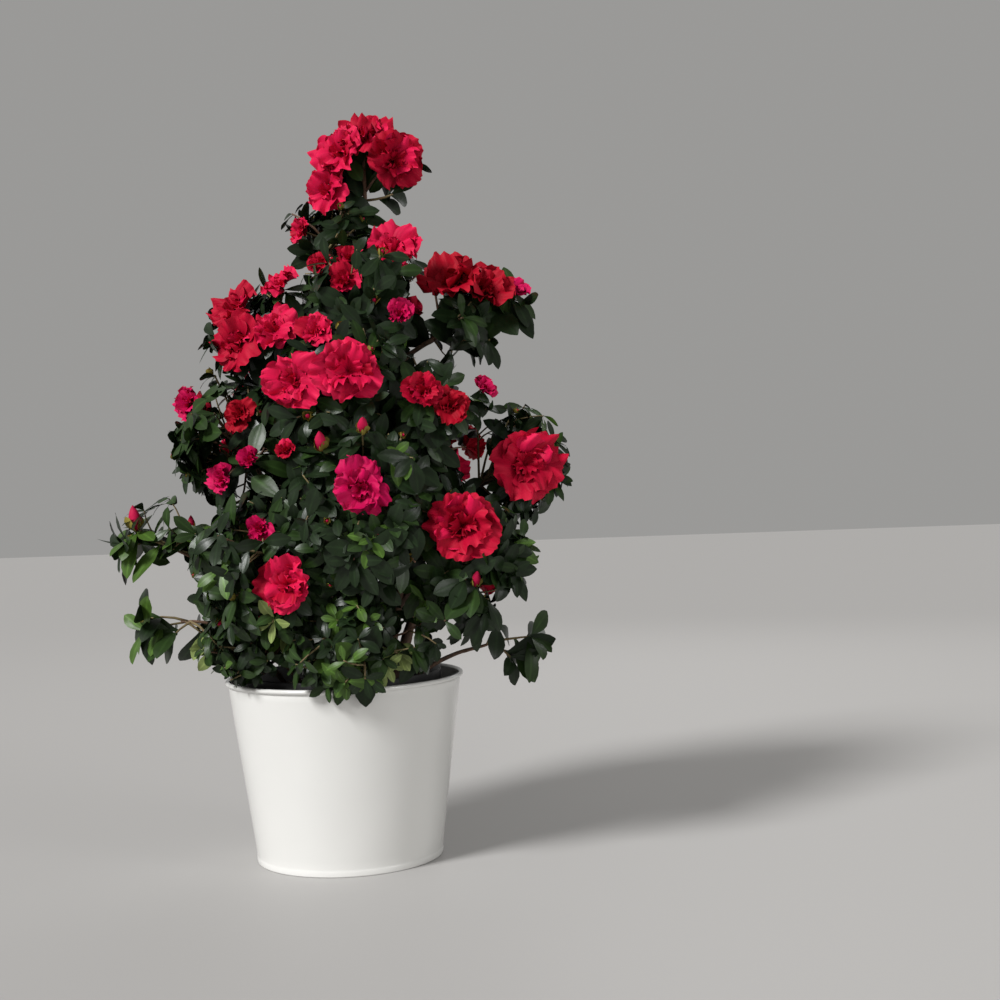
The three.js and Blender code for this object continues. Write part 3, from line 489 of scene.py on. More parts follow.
class Mass:
    """A mass of foliage, the space that it keeps to and its own seeded draws."""

    def __init__(self, index, row, growth):
        self.name, limb, centre, half, self.shoots, self.dense, self.seeded, self.light, self.young = row
        self.index, self.growth, self.limb = index, growth, limbs()[limb]
        self.rng = np.random.default_rng(101 + 17 * index)
        self.centre, self.half = np.array(centre) * MM, np.array(half) * MM
        self.skirt = self.name.endswith("skirt")
        self.leaf_share = min(1.0, float(self.half.min()) / (46 * MM)) if self.dense else 1.0
        if self.skirt:
            self.leaf_share = SKIRT_LEAF_SHARE
        self.planes = []

    def reach(self, aim):
        """How far the mass reaches in a direction."""
        return 1 / length_of(aim / self.half)

    def depth(self, point):
        """How far out a point is, from 0 at the centre to 1 at the mass's surface."""
        return length_of((point - self.centre) / self.half)

    def meet(self, masses):
        """Sets the planes that part this mass from each neighbour."""
        for other in masses:
            if other is self:
                continue
            between = other.centre - self.centre
            distance = length_of(between)
            normal = between / distance
            own, theirs = self.reach(normal), other.reach(normal)
            self.planes.append((normal, distance * own / (own + theirs)))

    def holds(self, point, slack=0.0):
        """Whether a point is in the mass's space, given a slack in metres past its planes."""
        if self.depth(point) > (1.18 if self.dense else 1.3) and not in_heart(point):
            return False
        offset = point - self.centre
        return all(float(offset @ normal) < limit + slack for normal, limit in self.planes)

    def tint(self, depth):
        """The colour that a rosette's leaves take; far inside the crown the darker green of painted shade."""
        pick = self.rng.random()
        if pick < self.young:
            return YOUNG
        if pick < self.young + self.light:
            return LIGHT
        if pick > (0.76 if self.dense else 0.66):
            return MID
        # Leaves far inside the crown take the darker green: painted shade
        return SHADED_GREEN if depth < 0.62 else DARK


def lay_leaf(mass, base, along, normal, length, tint):
    """Adds one leaf, unless it would leave the mass's space or touch a limb, the planter or a flower."""
    along = unit(along)
    points = base + np.outer((0.25, 0.55, 1.0), along * length)
    _, middle, tip = points
    if not mass.holds(middle, MIDDLE_SLACK) or not mass.holds(tip, TIP_SLACK):
        return
    if in_planter(tip) or in_planter(middle) or tip[2] > cad_box[1][2]:
        return
    near, radii = limb_samples()
    gaps = np.linalg.norm(points[1:, None, :] - near[None], axis=2) - radii[None]
    if gaps.min() < LIMB_GAP or mass.growth.covers_flower(points) or in_sky_gap(points):
        return
    width = length * mass.rng.uniform(0.36, 0.46)
    mass.growth.leaves.append((base, along, normal, length, width, mass.rng.integers(LEAF_FORMS), tint))


def rosette(mass, base, axis, count, size, tint, face=CROWN_FACE, low=0.7, high=1.45, least=3):
    """Lays a whorl of leaves at a shoot's tip, the outer ones spread wide and the inner ones steep.
    Where fewer than the least find room it lays none, and it says whether it laid them."""
    rng, leaves = mass.rng, mass.growth.leaves
    before = len(leaves)
    spoke = across(axis)
    turn = rng.uniform(0, 2 * math.pi)
    for k in range(count):
        inner = k / max(count - 1, 1)
        lean = high + (low - high) * inner + rng.normal(0, 0.12)
        aside = turned_about(spoke, axis, turn + k * GOLDEN_ANGLE + rng.normal(0, 0.15))
        along = axis * math.cos(lean) + aside * math.sin(lean) - UP * rng.uniform(0.08, 0.45)
        normal = axis * math.sin(lean) - aside * math.cos(lean) + face
        length = size * mass.leaf_share * (1.05 - 0.35 * inner) * rng.uniform(0.85, 1.12)
        root = base - axis * ROOT_REACH * (1 - inner)
        lay_leaf(mass, root, along, normal, length, tint)
    if len(leaves) < before + least:
        del leaves[before:]
        return False
    return True


def stem_leaves(mass, curve, size, tint, count, face=CROWN_FACE):
    """Lays single leaves along a shoot's outer half."""
    rng = mass.rng
    for k in range(count):
        share = rng.uniform(0.35, 0.92)
        axis = curve.tangent(share)
        aside = turned_about(across(axis), axis, k * GOLDEN_ANGLE + rng.uniform(0, 6.28))
        along = axis * 0.45 + aside - UP * 0.15
        normal = axis - aside * 0.3 + face * 2
        lay_leaf(mass, curve.at(share), along, normal, size * rng.uniform(0.8, 1.1), tint)


def grow_side_shoot(mass, curve):
    """Grows one side shoot from a main shoot, with its rosette, where there is room."""
    rng, growth = mass.rng, mass.growth
    share = rng.uniform(0.35, 0.85)
    root = curve.at(share)
    heading = curve.tangent(share)
    aside = turned_about(across(heading), heading, rng.uniform(0, 2 * math.pi))
    aim = unit(heading * 0.55 + aside * 0.9 + outward(root, 0.3) * 0.45)
    tip = root + aim * rng.uniform(18, 36) * MM
    if not mass.holds(tip) or in_planter(tip) or growth.covers_flower([tip]):
        return
    elbow = root + aim * 0.5 * np.linalg.norm(tip - root) + heading * 4 * MM
    side = Curve(root, elbow, tip)
    # A shoot in the crown's heart counts as innermost, so its leaves may take the darker green of painted
    # shade
    tint = mass.tint(0.0 if in_heart(tip) else mass.depth(tip))
    lean = unit(side.tangent(1) + outward(tip, 0.4) * 0.6)
    if rosette(mass, tip, lean, rng.integers(5, 8), rng.uniform(*SIDE_LEAVES) * MM, tint):
        growth.twigs.append((side, *SIDE_TWIG, True))
        stem_leaves(mass, side, 24 * MM, tint, 1)


def grow_shoot(mass, start, end, flower=None, colour=None):
    """Grows one main shoot, its side shoots and their rosettes, or the rosette under its flower."""
    rng, growth = mass.rng, mass.growth
    span = length_of(end - start)
    sway = rng.normal(0, 0.07, 3) * span
    curve = Curve(start, start + (end - start) * 0.5 + UP * span * 0.08 + sway, end)
    spray = colour is not None
    if flower is None and growth.covers_flower([end]):
        return
    size = rng.uniform(*(SPRAY_LEAVES if spray else SHOOT_LEAVES)) * MM
    axis = unit(curve.tangent(1) * 0.8 + outward(end, 0.45) * 0.7 + rng.normal(0, 0.2, 3))
    tint = colour if spray else mass.tint(mass.depth(end))
    if tint == YOUNG:
        size *= 0.75
    face = SPRAY_FACE if spray else CROWN_FACE
    if flower is not None:
        wide = 1.95 if flower.open else 1.5
        rosette(mass, end, flower.facing, 8, size * 1.1, tint, CROWN_FACE, 1.3, wide, 0)
    else:
        if not rosette(mass, end, axis, rng.integers(6, 9), size, tint, face):
            return
        if rng.random() < BUD_CHANCE and not mass.skirt:
            place = end + axis * 4 * MM
            growth.buds.append(Flower(place, rng.uniform(4, 7) * MM, 0.0, MAGENTA, axis))
    growth.twigs.append((curve, *MAIN_TWIG, spray or rng.random() < 0.35))
    stem_leaves(mass, curve, size, tint, 2 if spray else 3, face)
    for _ in range(0 if spray else rng.integers(3, 6)):
        grow_side_shoot(mass, curve)


def mass_flowers(mass, aims):
    """The named flowers of a mass and the seeded ones on the sides that the photograph hides."""
    rng = mass.rng
    made = []
    for place, width, opening, colour, facing in BLOOMS.get(mass.name, ()):
        made.append(Flower(np.array(place) * MM, width * MM, opening, colour, np.array(facing)))
    for aim in [aim for aim in aims if aim[1] > 0.3][: mass.seeded]:
        place = mass.centre + aim * mass.reach(aim) * 0.86
        facing = outward(place, 0.25) + rng.normal(0, 0.15, 3)
        opening = 1.0 if rng.random() < 0.75 else 0.55
        width = rng.uniform(44, 58) * MM * (0.45 + 0.55 * opening)
        # The third red in this choice is painted shade
        colour = rng.choice((LIT_CORAL, CRIMSON, CRIMSON, SHADED_RED))
        made.append(Flower(place, width, opening, int(colour), facing))
    return made


def shoot_aims(mass):
    """The golden spiral of directions in which a mass sends its main shoots."""
    axis = outward(mass.centre, 0.25)
    lean = np.array([-axis[1], axis[0], 0.2])
    spoke = unit(np.cross(lean, axis))
    cover = 0.4 if mass.dense else 1.0
    aims = []
    for i in range(mass.shoots):
        rise = 1 - (1 + cover) * (i + 0.5) / mass.shoots
        side = turned_about(spoke, axis, i * GOLDEN_ANGLE + mass.index * 1.3)
        aims.append(axis * rise + side * math.sqrt(1 - rise * rise))
    return aims


def shoot_ends(mass, aims):
    """Where a mass's leafy shoots end, round its surface, in the heart behind it or at a spray's tips,
    and the colour of a spray's leaves."""
    rng = mass.rng
    ends = [(np.array(tip[:3]) * MM, tip[3]) for tip in SPRAY_TIPS.get(mass.name, ())]
    for aim in aims:
        share = rng.uniform(0.66, 0.95)
        ends.append((mass.centre + aim * mass.reach(aim) * share, None))
    for _ in range(mass.shoots * 3 // 4):
        aim = unit(rng.normal(0, 1, 3))
        end = mass.centre + aim * mass.reach(aim) * rng.uniform(0.9, 1.4)
        if mass.holds(end):
            ends.append((end, None))
    for end, _ in ends:
        for _ in range(8):
            if mass.holds(end) and not in_planter(end):
                break
            end += (mass.centre - end) * 0.15
    return ends


@functools.lru_cache(maxsize=1)
def crown():
    """Grows the whole crown by one seeded rule from the limbs' tips."""
    growth = Growth()
    masses = [Mass(index, row, growth) for index, row in enumerate(MASSES)]
    plans = []
    for mass in masses:
        mass.meet(masses)
        aims = shoot_aims(mass)
        flowers = mass_flowers(mass, aims)
        growth.flowers.extend(flowers)
        plans.append((mass, aims, flowers))
    growth.settle()
    for mass, aims, flowers in plans:
        root = mass.limb.curve.end
        tangent = mass.limb.curve.tangent(1)
        bend = root + tangent * 8 * MM
        hub = mass.centre + (bend - mass.centre) * 0.25
        stem = Curve(root - tangent * 2 * MM, bend, hub)
        growth.twigs.append((stem, mass.limb.tip, mass.limb.tip * 0.8, False))
        for flower in flowers:
            foot = flower.place - flower.facing * ((0.3 if flower.open else 0.4) * flower.width)
            grow_shoot(mass, stem.at(mass.rng.uniform(0.5, 1)), foot, flower)
        for end, colour in shoot_ends(mass, aims):
            grow_shoot(mass, stem.at(mass.rng.uniform(0.3, 1)), end, None, colour)
    return growth


def add_node(tree, kind, inputs=None, **settings):
    """Adds a node: its settings first, then the values or links of its inputs."""
    node = tree.nodes.new(kind)
    for key, value in settings.items():
        setattr(node, key, value)
    for key, value in (inputs or {}).items():
        if isinstance(value, bpy.types.NodeSocket):
            tree.links.new(value, node.inputs[key])
        else:
            node.inputs[key].default_value = value
    return node


class Value:
    """A shader value whose arithmetic adds the nodes that work it out."""

    def __init__(self, shade, socket):
        self.shade, self.socket = shade, socket

    def maths(self, operation, other, swapped=False):
        """What an operation on this value and another gives."""
        first, second = (other, self) if swapped else (self, other)
        return self.shade.value("ShaderNodeMath", {0: first, 1: second}, operation=operation)

    __add__ = __radd__ = functools.partialmethod(maths, "ADD")
    __mul__ = __rmul__ = functools.partialmethod(maths, "MULTIPLY")
    __sub__ = functools.partialmethod(maths, "SUBTRACT")
    __rsub__ = functools.partialmethod(maths, "SUBTRACT", swapped=True)
    __pow__ = functools.partialmethod(maths, "POWER")


class Shade:
    """One material's nodes."""

    def __init__(self, name):
        self.material = bpy.data.materials.new(name)
        self.material.use_nodes = True
        self.tree = self.material.node_tree
        self.tree.nodes.clear()

    def value(self, kind, inputs=None, output=0, **settings):
        """The value that a new node gives."""
        sockets = {key: getattr(entry, "socket", entry) for key, entry in (inputs or {}).items()}
        return Value(self, add_node(self.tree, kind, sockets, **settings).outputs[output])

    def blade(self):
        """The UV of a leaf or petal: X from side to side and Y from foot to tip."""
        return self.value("ShaderNodeUVMap", output="UV", uv_map=BLADE_UV)

    def noise(self, scale, detail=3.0, stretch=(1.0, 1.0, 1.0), source=None):
        """Noise from 0 to 1 at a scale per metre of the object's own coordinates, or over a source."""
        source = source or self.value("ShaderNodeTexCoord", output="Object")
        place = self.value("ShaderNodeMapping", {"Vector": source, "Scale": stretch}, "Vector")
        return self.value("ShaderNodeTexNoise", {"Vector": place, "Scale": scale, "Detail": detail})

    def ramp(self, value, stops):
        """A colour from a value by stops of (place, colour)."""
        node = add_node(self.tree, "ShaderNodeValToRGB", {"Fac": value.socket})
        elements = node.color_ramp.elements
        while len(elements) < len(stops):
            elements.new(1.0)
        for element, (place, colour) in zip(elements, stops):
            element.position = place
            element.color = (*colour, 1.0)
        return Value(self, node.outputs["Color"])

    def finish(self, base, rough, relief=None, more=()):
        """Ends the material in one principled surface; a relief is its height, strength and distance."""
        sockets = {"Base Color": base, "Roughness": rough, **dict(more)}
        if relief:
            bump = dict(zip(("Height", "Strength", "Distance"), relief))
            sockets["Normal"] = self.value("ShaderNodeBump", bump, "Normal")
        surface = self.value("ShaderNodeBsdfPrincipled", sockets)
        add_node(self.tree, "ShaderNodeOutputMaterial", {"Surface": surface.socket})
        return self.material


def tones(colour, *steps):
    """Stops of one colour: each step's place and what the colour is times there."""
    return [(place, tuple(min(1.0, part * factor) for part in colour[:3])) for place, factor in steps]


def enamel_finish(colour):
    """Glossy cream-white stoved enamel over thin sheet."""
    shade = Shade("cream_enamel")
    base = shade.ramp(shade.noise(9.0, 2.0), tones(colour, (0.25, 0.97), (0.8, 1.02)))
    rough = 0.2 + 0.08 * shade.noise(60.0)
    relief = (shade.noise(22.0, 1.0), 0.25, 0.0015)
    return shade.finish(base, rough, relief, {"Coat Weight": 0.6, "Coat Roughness": 0.08})


def pot_plastic_finish():
    """Black moulded plastic with a faint grain."""
    shade = Shade("black_pot_plastic")
    grain = shade.noise(900.0, 2.0)
    base = shade.ramp(shade.noise(40.0), ((0.3, (0.012, 0.012, 0.013)), (0.8, (0.035, 0.034, 0.034))))
    return shade.finish(base, 0.42 + 0.2 * grain, (grain, 0.3, 0.0004))


def compost_finish():
    """Dark moist compost."""
    shade = Shade("moist_compost")
    stops = ((0.25, (0.012, 0.008, 0.006)), (0.55, (0.04, 0.026, 0.017)), (0.85, (0.1, 0.066, 0.042)))
    base = shade.ramp(shade.noise(420.0, 6.0), stops)
    return shade.finish(base, 0.95, (shade.noise(900.0, 5.0), 0.8, 0.001))


def bark_finish(name, light, dark):
    """Thin bark, streaked along the limb."""
    shade = Shade(name)
    streak = shade.noise(260.0, 5.0, (1.0, 1.0, 0.22))
    base = shade.ramp(streak, ((0.28, dark), (0.72, light)))
    relief = (streak + 0.5 * shade.noise(1400.0), 0.6, 0.0006)
    return shade.finish(base, 0.7 + 0.2 * streak, relief)


def leaf_finish(name, colour, gloss, veined=True):
    """A glossy leathery leaf, paler along its midrib."""
    shade = Shade(name)
    tone = shade.noise(70.0)
    height = shade.noise(420.0, 2.0)
    if veined:
        side = shade.value("ShaderNodeSeparateXYZ", {"Vector": shade.blade()}, "X") * 2.0 - 1.0
        midrib = (1.0 - side * side) ** 30.0
        tone = tone + 0.3 * midrib
        height = height - 0.8 * midrib
    base = shade.ramp(tone, tones(colour, (0.2, 0.7), (0.5, 1.0), (0.75, 1.35), (1.0, 2.2)))
    rough = gloss + 0.14 * shade.noise(150.0, 2.0)
    return shade.finish(base, rough, (height, 0.12, 0.0005), {"Specular IOR Level": 0.22})


def petal_finish(name, colour, bladed=True):
    """A soft thin petal, with painted shade darkening its throat and a painted sheen paling its frilled edge.
    """
    shade = Shade(name)
    tone = cloud = shade.noise(90.0)
    height = shade.noise(600.0, 2.0)
    if bladed:
        # Darker at the foot and paler towards the tip: painted shade in the throat and a painted sheen at the
        # edge
        along = shade.value("ShaderNodeSeparateXYZ", {"Vector": shade.blade()}, "Y")
        streak = shade.noise(16.0, 2.0, (1.0, 0.12, 1.0), shade.blade())
        tone = 0.4 * along + 0.36 * streak + 0.2 * cloud + 0.3 * shade.noise(36.0, 1.0) - 0.12
        height = height + 2.0 * streak
    red, green, blue = colour
    # The palest stop is a painted sheen
    pale = (min(1.0, red * 1.25), green + 0.03 * red, blue * 1.35 + 0.025 * red)
    base = shade.ramp(tone, [*tones(colour, (0.15, 0.42), (0.42, 0.74), (0.62, 0.94)), (0.86, pale)])
    rough = 0.55 + 0.1 * cloud
    return shade.finish(base, rough, (height, 0.35, 0.0005), {"Specular IOR Level": 0.12})


def linked(name, data):
    """A new object in the scene."""
    made = bpy.data.objects.new(name, data)
    bpy.context.scene.collection.objects.link(made)
    return made


def riding(name, mesh):
    """A new piece that rides on the body."""
    piece = linked(name, mesh)
    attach(piece, BODY)
    return piece


def mesh_piece(name, points, faces, material, uv=None):
    """Makes one piece from arrays of points, faces and UV."""
    points = np.asarray(points, np.float32).reshape(-1, 3)
    faces = np.asarray(faces, np.int32)
    mesh = bpy.data.meshes.new(name)
    mesh.vertices.add(len(points))
    mesh.vertices.foreach_set("co", points.ravel())
    mesh.loops.add(faces.size)
    mesh.loops.foreach_set("vertex_index", faces.ravel())
    mesh.polygons.add(len(faces))
    starts = np.arange(0, faces.size, faces.shape[1], dtype=np.int32)
    mesh.polygons.foreach_set("loop_start", starts)
    mesh.polygons.foreach_set("use_smooth", np.full(len(faces), True))
    if uv is not None:
        layer = mesh.uv_layers.new(name=BLADE_UV)
        layer.data.foreach_set("uv", np.asarray(uv, np.float32)[faces.ravel()].ravel())
    mesh.update(calc_edges=True)
    mesh.validate()
    mesh.materials.append(material)
    return riding(name, mesh)


def grid_faces(rows, columns, closed=False):
    """The quads of a grid of points, closed round its columns where asked."""
    quads = []
    for i in range(rows - 1):
        for j in range(columns if closed else columns - 1):
            a = i * columns + j
            b = i * columns + (j + 1) % columns
            quads.append((a, b, b + columns, a + columns))
    return np.array(quads, np.int32)


def grid_piece(name, copies, rows, columns, material, slot, closed=False, uv=None):
    """Makes one piece from many like grids of points; a UV given for one of them serves each."""
    shifts = np.arange(len(copies))[:, None, None] * (rows * columns)
    faces = (grid_faces(rows, columns, closed)[None] + shifts).reshape(-1, 4)
    if uv is not None:
        uv = np.tile(uv, (len(copies), 1))
    return mesh_piece(name, copies, faces, material, uv)


def blade_uv(stations, ribs):
    """UV of a leaf or petal: U from side to side and V from foot to tip."""
    return [(u, v) for v in stations for u in (ribs + 1) / 2]


def tube_piece(name, tubes, material):
    """Makes one piece of bark from tubes, each a stack of rings."""
    points, faces, count = [], [], 0
    for rings in tubes:
        faces.append(grid_faces(*rings.shape[:2], True) + count)
        points.append(rings.reshape(-1, 3))
        count += len(points[-1])
    return mesh_piece(name, np.concatenate(points), np.concatenate(faces), material)


def ring_angles(count):
    """Angles that go once round."""
    return np.arange(count) / count * 2 * math.pi


def level_ring(radius, height, count):
    """A ring of points about Z."""
    angles = ring_angles(count)
    rise = np.broadcast_to(height, angles.shape)
    return np.stack([radius * np.cos(angles), radius * np.sin(angles), rise], 1)


def arc(centre, radius, first, last, steps):
    """Points on an arc in (radius, height), by angles in degrees."""
    turns = np.radians(np.linspace(first, last, steps))
    return [(centre[0] + radius * math.cos(t), centre[1] + radius * math.sin(t)) for t in turns]


def taper(foot, rim, low, high):
    """A wall's radius by height, from a foot to a rim."""
    return lambda z: foot + (rim - foot) * (z - low) / (high - low)


def planter_profile():
    """The planter's section: a hemmed foot, a tapering wall and a rolled bead, inside and out."""
    height = PLANTER_HEIGHT
    bead, hem, gauge = 1.9 * MM, 0.9 * MM, 1.2 * MM
    base = 76 * MM
    wall = taper(base, PLANTER_RIM - bead, 0, height)
    profile = [(NEAR_AXIS, 0.0), (base * 0.5, 0.0), (base - 2 * MM, 0.0)]
    profile += arc((base + hem - 1.0 * MM, 1.0 * MM), 1.0 * MM, -90, 10, 6)
    profile += [(base + hem + 0.3 * MM, 4.0 * MM), (base + hem + 0.1 * MM, 4.7 * MM)]
    profile += [(wall(5.4 * MM) + 0.15 * MM, 5.3 * MM), (wall(6.5 * MM), 6.5 * MM)]
    profile += [(wall(height * share), height * share) for share in np.linspace(0.08, 0.93, 14)]
    for down, inset in ((5.6 * MM, 0.0), (4.4 * MM, 0.35 * MM)):
        profile.append((wall(height - down) - inset, height - down))
    profile += arc((PLANTER_RIM - bead, height - bead), bead, -70, 185, 14)
    profile += [(wall(height * share) - gauge, height * share) for share in np.linspace(0.95, 0.04, 10)]
    return profile + [(wall(0) - gauge, 2.0 * MM), (NEAR_AXIS, 2.0 * MM)]


def dress_planter(scene):
    """The tin planter, with the faint waves of thin sheet."""
    segments = 192
    points = np.array([level_ring(radius, height, segments) for radius, height in planter_profile()])
    angle = np.arctan2(points[..., 1], points[..., 0])
    z = points[..., 2]
    wave = np.sin(3 * angle + 24 * z) + 0.6 * np.sin(5 * angle - 40 * z + 1.3)
    wave += 0.4 * np.sin(9 * angle + 70 * z + 0.4)
    high = PLANTER_HEIGHT - 6 * MM
    mask = np.clip((z - 8 * MM) / (30 * MM), 0, 1) * np.clip((high - z) / (25 * MM), 0, 1)
    points[..., :2] *= (1 + wave * mask * 0.0009)[..., None]
    material = enamel_finish(scene.azalea_planter.enamel)
    piece = grid_piece("tin_planter", [points], len(points), segments, material, "painted_tin", True)
    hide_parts("planter")


def dress_inner_pot(_):
    """The black inner pot with its turned-out lip."""
    rim, top, low = POT_RIM, POT_TOP, POT_LOW.z
    lip = 9 * MM
    base = 60 * MM
    wall = taper(base, rim - 2 * MM, low, top)
    profile = [(NEAR_AXIS, low), (base - 1 * MM, low), (base, low + 1 * MM)]
    profile += [(wall(top - lip), top - lip), (rim - 0.6 * MM, top - lip + 0.2 * MM)]
    profile += [(rim - 0.2 * MM, top - lip + 0.8 * MM), (rim - 0.1 * MM, top - lip * 0.5)]
    profile += arc((rim - 1.0 * MM, top - 1.0 * MM), 1.0 * MM, 0, 180, 7)
    for down, inset in ((3 * MM, 1.3 * MM), (14 * MM, 1.4 * MM)):
        profile.append((wall(top - down) - inset, top - down))
    profile += [(base - 1.4 * MM, low + 1.4 * MM), (NEAR_AXIS, low + 1.4 * MM)]
    segments = 128
    points = [level_ring(radius, height, segments) for radius, height in profile]
    material = pot_plastic_finish()
    piece = grid_piece("nursery_pot", [points], len(points), segments, material, "pot_plastic", True)
    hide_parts("inner_pot")


def dress_compost(scene):
    """The compost's lumpy surface, closed below, and its crumbs."""
    segments, rings = 120, 34
    edge = COMPOST_HIGH.x
    centre = 0.05 * MM
    rng = np.random.default_rng(9)
    waves = rng.uniform(-1, 1, (40, 2)) * 420
    phases = rng.uniform(0, 6.28, 40)
    low = COMPOST_TOP - 14 * MM
    points = [level_ring(centre, low, segments), level_ring(edge * 0.985, low, segments)]
    for i in range(rings):
        radius = edge * (1 - i / (rings - 1)) + centre
        x, y, _ = level_ring(radius, 0.0, segments).T
        lumps = sum(np.sin(a * x + b * y + phase) for (a, b), phase in zip(waves, phases))
        fall = 5 * MM * np.clip((radius / edge - 0.86) / 0.14, 0, 1)
        rise = COMPOST_TOP - 1.1 * MM - fall + lumps * 0.22 * MM
        points.append(level_ring(radius, rise, segments))
    material = compost_finish()
    piece = grid_piece("compost_surface", [points], len(points), segments, material, "compost", True)
    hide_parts("compost")
    scatter_crumbs(piece, material, scene.azalea_planter.crumbs)


def scatter_crumbs(ground, material, count):
    """Crumbs of compost strewn over its surface by Geometry Nodes."""
    tree = bpy.data.node_groups.new("compost_crumbs", "GeometryNodeTree")
    socket = tree.interface.new_socket
    socket("Geometry", in_out="INPUT", socket_type="NodeSocketGeometry")
    size = socket("Crumb size", in_out="INPUT", socket_type="NodeSocketFloat")
    density = socket("Density", in_out="INPUT", socket_type="NodeSocketFloat")
    socket("Geometry", in_out="OUTPUT", socket_type="NodeSocketGeometry")

    def node(kind, inputs=None, output=0, **settings):
        return add_node(tree, kind, inputs, **settings).outputs[output]

    entry = add_node(tree, "NodeGroupInput").outputs
    height = node("ShaderNodeSeparateXYZ", {0: node("GeometryNodeInputPosition")}, "Z")
    limits = {0: height, 1: COMPOST_TOP - 8 * MM}
    above = node("FunctionNodeCompare", limits, data_type="FLOAT", operation="GREATER_THAN")
    strewn = {"Mesh": entry["Geometry"], "Selection": above, "Density": entry["Density"], "Seed": 7}
    sphere = {"Radius": entry["Crumb size"], "Subdivisions": 1}
    stretch = {0: (0.35, 0.35, 0.25), 1: (1.6, 1.1, 0.8)}
    laid = {
        "Points": node("GeometryNodeDistributePointsOnFaces", strewn),
        "Instance": node("GeometryNodeMeshIcoSphere", sphere),
        "Rotation": node("FunctionNodeRandomValue", {1: (6.28, 6.28, 6.28)}, data_type="FLOAT_VECTOR"),
        "Scale": node("FunctionNodeRandomValue", stretch, data_type="FLOAT_VECTOR"),
    }
    real = node("GeometryNodeRealizeInstances", {0: node("GeometryNodeInstanceOnPoints", laid)})
    painted = node("GeometryNodeSetMaterial", {0: real, "Material": material})
    add_node(tree, "NodeGroupOutput", {"Geometry": painted})
    modifier = ground.modifiers.new("crumbs", "NODES")
    modifier.node_group = tree
    modifier[size.identifier] = 1.1 * MM
    modifier[density.identifier] = count / (math.pi * COMPOST_HIGH.x**2)
    bpy.context.view_layer.update()
    evaluated = ground.evaluated_get(bpy.context.evaluated_depsgraph_get())
    mesh = bpy.data.meshes.new_from_object(evaluated)
    mesh.name = "compost_crumbs"
    ground.modifiers.remove(modifier)
    riding("compost_crumbs", mesh)


def tube_points(curve, radius_at, sides, steps):
    """Rings of points round a curve, with no twist along it."""
    side = across(curve.tangent(0))
    angles = ring_angles(sides)
    rings = []
    for i in range(steps + 1):
        share = i / steps
        axis = curve.tangent(share)
        side = unit(side - axis * float(side @ axis))
        ring = np.outer(np.cos(angles), side) + np.outer(np.sin(angles), np.cross(axis, side))
        rings.append(curve.at(share) + ring * radius_at(share))
    return np.array(rings)


def capped(rings):
    """Rings with one more, drawn in to a point, at each end."""
    tip_share = 0.02

    def drawn_in(ring):
        middle = ring.mean(1, keepdims=True)
        return middle + (ring - middle) * tip_share

    return np.concatenate([drawn_in(rings[:1]), rings, drawn_in(rings[-1:])])


def limb_rings(limb, name, rng):
    """One limb's surface: knobbly, with shallow furrows and old leaf scars."""
    sides = 20
    ring_gap, scar_gap, scar_size = 3.2 * MM, 14 * MM, 2.2 * MM
    line = np.array([limb.curve.at(i / 11) for i in range(12)])
    length = float(np.linalg.norm(np.diff(line, axis=0), axis=1).sum())
    steps = max(12, int(length / ring_gap))
    rings = tube_points(limb.curve, limb.radius, sides, steps)
    centre = rings.mean(1, keepdims=True)
    angles = ring_angles(sides)[None, :]
    run = np.linspace(0, length, steps + 1)[:, None]
    relief = np.zeros((steps + 1, sides))
    for _ in range(9):
        turns = rng.integers(1, 6)
        relief += np.sin(turns * angles + run * rng.uniform(60, 420) + rng.uniform(0, 6.28)) * 0.022
    for _ in range(int(length / scar_gap)):
        spot, bearing = rng.uniform(0, length), rng.uniform(0, 2 * math.pi)
        gap = (run - spot) ** 2 / scar_size**2 + (np.cos(angles - bearing) - 1) ** 2 * 6
        relief += 0.22 * np.exp(-gap * 2)
    if name == "trunk":
        relief += 0.09 * np.sin(3 * angles + 40 * run) * np.clip(1 - run / 0.12, 0, 1)
    return capped(centre + (rings - centre) * (1 + relief)[..., None])


def dress_limbs(_):
    """The trunk, stems and boughs with their bark, as one piece."""
    rng = np.random.default_rng(31)
    tubes = [limb_rings(limb, name, rng) for name, limb in limbs().items()]
    material = bark_finish("azalea_bark", (0.21, 0.125, 0.08), (0.07, 0.042, 0.03))
    piece = tube_piece("trunk_and_boughs", tubes, material)
    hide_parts(*[row[0] for row in LIMBS])


def dress_twigs(_):
    """The twigs inside the masses: older brown ones and green-tan young shoots."""
    for green, name, *finish in (
        (False, "brown_twigs", "twig_bark", (0.2, 0.11, 0.065), (0.09, 0.05, 0.032)),
        (True, "young_shoots", "young_bark", (0.24, 0.2, 0.085), (0.14, 0.085, 0.045)),
    ):
        tubes = []
        for curve, thick, thin, young in crown().twigs:
            if young == green:
                tubes.append(capped(tube_points(curve, lambda t: thick + (thin - thick) * t, 6, 3)))
        tube_piece(name, tubes, bark_finish(*finish))


